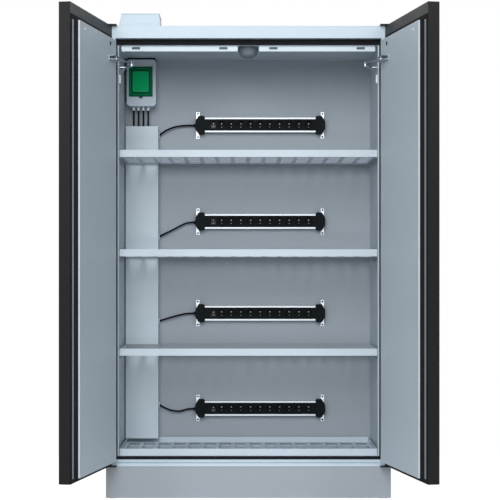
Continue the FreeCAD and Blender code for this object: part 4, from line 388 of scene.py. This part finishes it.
# A small grey dome, a painted highlight in the socket
HIGHLIGHT_DOT = [(0.0026, -0.0002), (0.0026, 0.0012), (0.0020, 0.0020), (0.0010, 0.0023)]
ROCKER_LENS = [(0.0026, -0.0006), (0.0026, 0.0004), (0.0019, 0.0010), (0.0008, 0.0013)]
ROCKER_MARK = [(0.0024, -0.0006), (0.0024, 0.0003), (0.0017, 0.0003), (0.0017, -0.0006)]


def socket_details(index):
    """Liners with contact holes, earth pins, and grey dots that paint a dim highlight above the centre,
    in the sockets of one strip.
    """
    height = STRIP_HEIGHTS[index]
    floor = INSERT_FACE + SOCKET_DEPTH
    liners, pins, highlight_dots = [], [], []
    for number in range(SOCKET_COUNT):
        across = SOCKET_FIRST + number * SOCKET_PITCH
        liners.append(turned(LINER, forwards(across, INSERT_FACE, height), 32, True))
        for side in (-1, 1):
            hole = forwards(across + side * CONTACT_OFFSET, floor, height)
            liners.append(turned(HOLE_RIM, hole, 16, True))
        pins.append(turned(EARTH_PIN, forwards(across, floor, height - CONTACT_OFFSET), 16))
        # A grey dome above the centre paints a dim highlight
        highlight_dots.append(turned(HIGHLIGHT_DOT, forwards(across, floor, height + HIGHLIGHT_DOT_RISE), 12))
    black, grey = MATERIALS["black_plastic"], MATERIALS["duct_grey"]
    mesh_piece(f"socket_liners_{index + 1}", liners, black, "cabinet")
    mesh_piece(f"earth_pins_{index + 1}", pins, NICKEL, "cabinet")
    mesh_piece(f"socket_highlight_dots_{index + 1}", highlight_dots, grey, "cabinet")


def ear_screws(index):
    """The screws in the ears of one strip, above and below it."""
    heads = [screw(EAR_SCREW_RADIUS, forwards(across, EAR_FACE, STRIP_HEIGHTS[index] + rise))
             for across in EAR_PLACES for rise in (-EAR_SCREW_RISE, EAR_SCREW_RISE)]
    mesh_piece(f"ear_screws_{index + 1}", heads, SCREW_BLACK, "cabinet")


def rocker_details(index):
    """The lens and the ring mark on the rocker of one strip."""
    tilt = Matrix.Rotation(math.radians(ROCKER_TILT), 4, "X")
    pivot = Matrix.Translation((*ROCKER_PIVOT, STRIP_HEIGHTS[index])) @ tilt
    lens = turned(ROCKER_LENS, pivot @ forwards(0, -LENS_FORWARD, LENS_RISE), 16)
    mark = turned(ROCKER_MARK, pivot @ forwards(0, -MARK_FORWARD, -LENS_RISE), 16, True)
    switch = f"switch_{index + 1}"
    mesh_piece(f"rocker_lens_{index + 1}", [lens], LENS, switch)
    mesh_piece(f"rocker_mark_{index + 1}", [mark], LENS, switch)


for strip in range(len(STRIP_HEIGHTS)):
    socket_details(strip)
    ear_screws(strip)
    rocker_details(strip)


# Doors: the black plug near the closer and the screw near the free edge

PLUG = [(0.0085, -0.0002), (0.0085, 0.0008), (0.0074, 0.0016), (0.0050, 0.0018), (0.0030, 0.0012)]
for side, word in DOORS:
    plug = turned(PLUG, on_door(side, PLUG_FROM_HINGE, DOOR_PANEL, PLUG_HEIGHT), 28)
    mesh_piece(f"panel_plug_{word}", [plug], MATERIALS["seal_black"], f"door_{word}")
    head = screw(PANEL_SCREW_RADIUS, on_door(side, PANEL_SCREW_FROM_HINGE, DOOR_PANEL, PLUG_HEIGHT))
    mesh_piece(f"panel_screw_{word}", [head], MATERIALS["frame_white"], f"door_{word}")


# Curves: the beads on the flap and the power leads

def round_rod(name, points, radius, roundness, closed, material):
    """A round rod along points: straight from point to point when closed, and smooth when open."""
    curve = bpy.data.curves.new(name, "CURVE")
    curve.dimensions = "3D"
    curve.bevel_depth = radius
    curve.bevel_resolution = roundness
    spline = curve.splines.new("POLY" if closed else "NURBS")
    spline.points.add(len(points) - 1)
    for point, place in zip(spline.points, points):
        point.co = (*place, 1)
    if closed:
        spline.use_cyclic_u = True
    else:
        spline.order_u = 3
        spline.use_endpoint_u = True
        curve.resolution_u = 16
    thing = bpy.data.objects.new(name, curve)
    bpy.context.scene.collection.objects.link(thing)
    curve.materials.append(material)
    return thing


def flap_bead(name, inset, face, corner, radius, material):
    """A thin bead along a rectangle with round corners, drawn in from the flap's outline."""
    left, right = FLAP_X[0] + inset[0] + corner, FLAP_X[1] - inset[0] - corner
    low, high = FLAP_Z[0] + inset[1] + corner, FLAP_Z[1] - inset[1] - corner
    points = []
    for quarter, (across, up) in enumerate(((right, high), (left, high), (left, low), (right, low))):
        for step in range(7):
            angle = math.radians(90 * quarter + 15 * step)
            points.append((across + corner * math.cos(angle), face, up + corner * math.sin(angle)))
    bead = round_rod(name, points, radius, 3, True, material)
    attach(bead, "flap")


# Both beads are real raised beads, and their lighter greens are painted highlights along the pad's and
# the border's edges
flap_bead("flap_pad_bead", PAD_INSET, FLAP_FACE - PAD_RISE, PAD_CORNER, PAD_BEAD, PAD_HIGHLIGHT_GREEN)
flap_bead("flap_border_bead", BORDER_INSET, FLAP_FACE, BORDER_CORNER, BORDER_BEAD, PAD_GREEN)


# The leads' routes, as their solids run: across, forwards of LEAD_DEPTH and above the strip's height
LEAD_ROUTES = (
    ((-0.245, 0.0, -0.0015), (-0.278, 0.0, -0.0015), (-0.316, 0.004, -0.005), (-0.352, 0.006, -0.016),
     (-0.384, 0.004, -0.033), (LEAD_INTO_DUCT, 0.0, -0.054)),
    ((-0.245, 0.0, -0.004), (-0.270, 0.0, -0.004), (-0.302, 0.004, -0.018), (-0.336, 0.006, -0.037),
     (-0.372, 0.004, -0.054), (LEAD_INTO_DUCT, 0.0, -0.072)),
    ((-0.245, 0.0, -0.0005), (-0.272, 0.0, -0.0005), (-0.309, 0.004, -0.008), (-0.345, 0.006, -0.018),
     (-0.378, 0.004, -0.028), (LEAD_INTO_DUCT, 0.0, -0.0385)),
    ((-0.245, 0.0, -0.0025), (-0.270, 0.0, -0.0025), (-0.303, 0.004, -0.014), (-0.338, 0.006, -0.012),
     (-0.375, 0.004, 0.001), (LEAD_INTO_DUCT, 0.0, 0.020)),
)


def power_lead(index):
    """One lead as a smooth curve through its route."""
    height = STRIP_HEIGHTS[index]
    points = [(across, LEAD_DEPTH - forward, height + rise)
              for across, forward, rise in LEAD_ROUTES[index]]
    black = MATERIALS["cable_black"]
    lead = round_rod(f"lead_{index + 1}", points, LEAD_DIAMETER / 2, 5, False, black)
    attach(lead, "cabinet")
    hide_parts(f"power_lead_{index + 1}")


for strip in range(len(STRIP_HEIGHTS)):
    power_lead(strip)


# Backdrop, light and camera

def area_light(name, place, target, size, watts):
    """A soft rectangular light aimed at a point."""
    data = bpy.data.lights.new(name, "AREA")
    data.shape = "RECTANGLE"
    data.size, data.size_y = size
    data.energy = watts
    data.color = LAMP_COLOR
    light = bpy.data.objects.new(name, data)
    light.location = place
    light.rotation_euler = (Vector(target) - Vector(place)).to_track_quat("-Z", "Y").to_euler()
    bpy.context.scene.collection.objects.link(light)


def background_share(tree):
    """One for the rays that should meet the white background, zero for the rays of light."""
    path = tree.nodes.new("ShaderNodeLightPath")
    share = path.outputs["Is Camera Ray"]
    for output in ("Is Glossy Ray", "Is Transmission Ray"):
        largest = tree.nodes.new("ShaderNodeMath")
        largest.operation = "MAXIMUM"
        tree.links.new(share, largest.inputs[0])
        tree.links.new(path.outputs[output], largest.inputs[1])
        share = largest.outputs["Value"]
    return share


def surroundings():
    """A white world to the camera and in reflections, and a pale cool one to everything it lights."""
    world = bpy.data.worlds.new("surroundings")
    bpy.context.scene.world = world
    world.use_nodes = True
    tree = world.node_tree
    tree.nodes.clear()
    output = tree.nodes.new("ShaderNodeOutputWorld")
    light = tree.nodes.new("ShaderNodeBackground")
    light.inputs["Color"].default_value = (0.90, 0.95, 1.0, 1)
    light.inputs["Strength"].default_value = WORLD_STRENGTH
    white = tree.nodes.new("ShaderNodeBackground")
    white.inputs["Color"].default_value = (1, 1, 1, 1)
    mix = tree.nodes.new("ShaderNodeMixShader")
    tree.links.new(background_share(tree), mix.inputs["Fac"])
    tree.links.new(light.outputs["Background"], mix.inputs[1])
    tree.links.new(white.outputs["Background"], mix.inputs[2])
    tree.links.new(mix.outputs["Shader"], output.inputs["Surface"])


def pale_floor():
    """A white floor that keeps the shadow and gives the light back from below."""
    data = bpy.data.meshes.new("floor")
    half, front, back = 2.4, -2.6, 1.5
    corners = [(-half, front, 0), (half, front, 0), (half, back, 0), (-half, back, 0)]
    data.from_pydata(corners, [], [(0, 1, 2, 3)])
    floor = bpy.data.objects.new("floor", data)
    bpy.context.scene.collection.objects.link(floor)
    material = bpy.data.materials.new("floor_white")
    material.use_nodes = True
    tree = material.node_tree
    tree.nodes.clear()
    output = tree.nodes.new("ShaderNodeOutputMaterial")
    diffuse = tree.nodes.new("ShaderNodeBsdfDiffuse")
    diffuse.inputs["Color"].default_value = (0.86, 0.86, 0.86, 1)
    glow = tree.nodes.new("ShaderNodeEmission")
    glow.inputs["Strength"].default_value = 0.82
    lit = tree.nodes.new("ShaderNodeAddShader")
    mix = tree.nodes.new("ShaderNodeMixShader")
    tree.links.new(diffuse.outputs["BSDF"], lit.inputs[0])
    tree.links.new(glow.outputs["Emission"], lit.inputs[1])
    tree.links.new(background_share(tree), mix.inputs["Fac"])
    tree.links.new(diffuse.outputs["BSDF"], mix.inputs[1])
    tree.links.new(lit.outputs["Shader"], mix.inputs[2])
    tree.links.new(mix.outputs["Shader"], output.inputs["Surface"])
    data.materials.append(material)


surroundings()
pale_floor()
area_light("key", (-0.6, -5.8, 3.6), (0, 0.2, 0.9), (2.4, 3.6), 230)
area_light("left", (-3.6, -5.6, 3.3), (-0.6, -0.5, 1.6), (1.0, 1.6), 57)
area_light("right", (3.6, -5.6, 3.3), (0.6, -0.5, 1.6), (1.0, 1.6), 46)
area_light("low", (0.0, -4.6, 0.25), (0, 0.3, 1.2), (3.0, 0.4), 19)

camera_data = bpy.data.cameras.new("camera")
camera_data.lens = 110
camera_data.sensor_width = 36
camera_data.shift_x = 0.0175
camera_data.shift_y = 0.044
camera = bpy.data.objects.new("camera", camera_data)
camera.location = (CAMERA_ACROSS, FRONT - CAMERA_DISTANCE, CAMERA_HEIGHT)
camera.rotation_euler = (math.radians(90), 0, 0)
bpy.context.scene.collection.objects.link(camera)
bpy.context.scene.camera = camera
bpy.context.scene.view_settings.view_transform = "Standard"
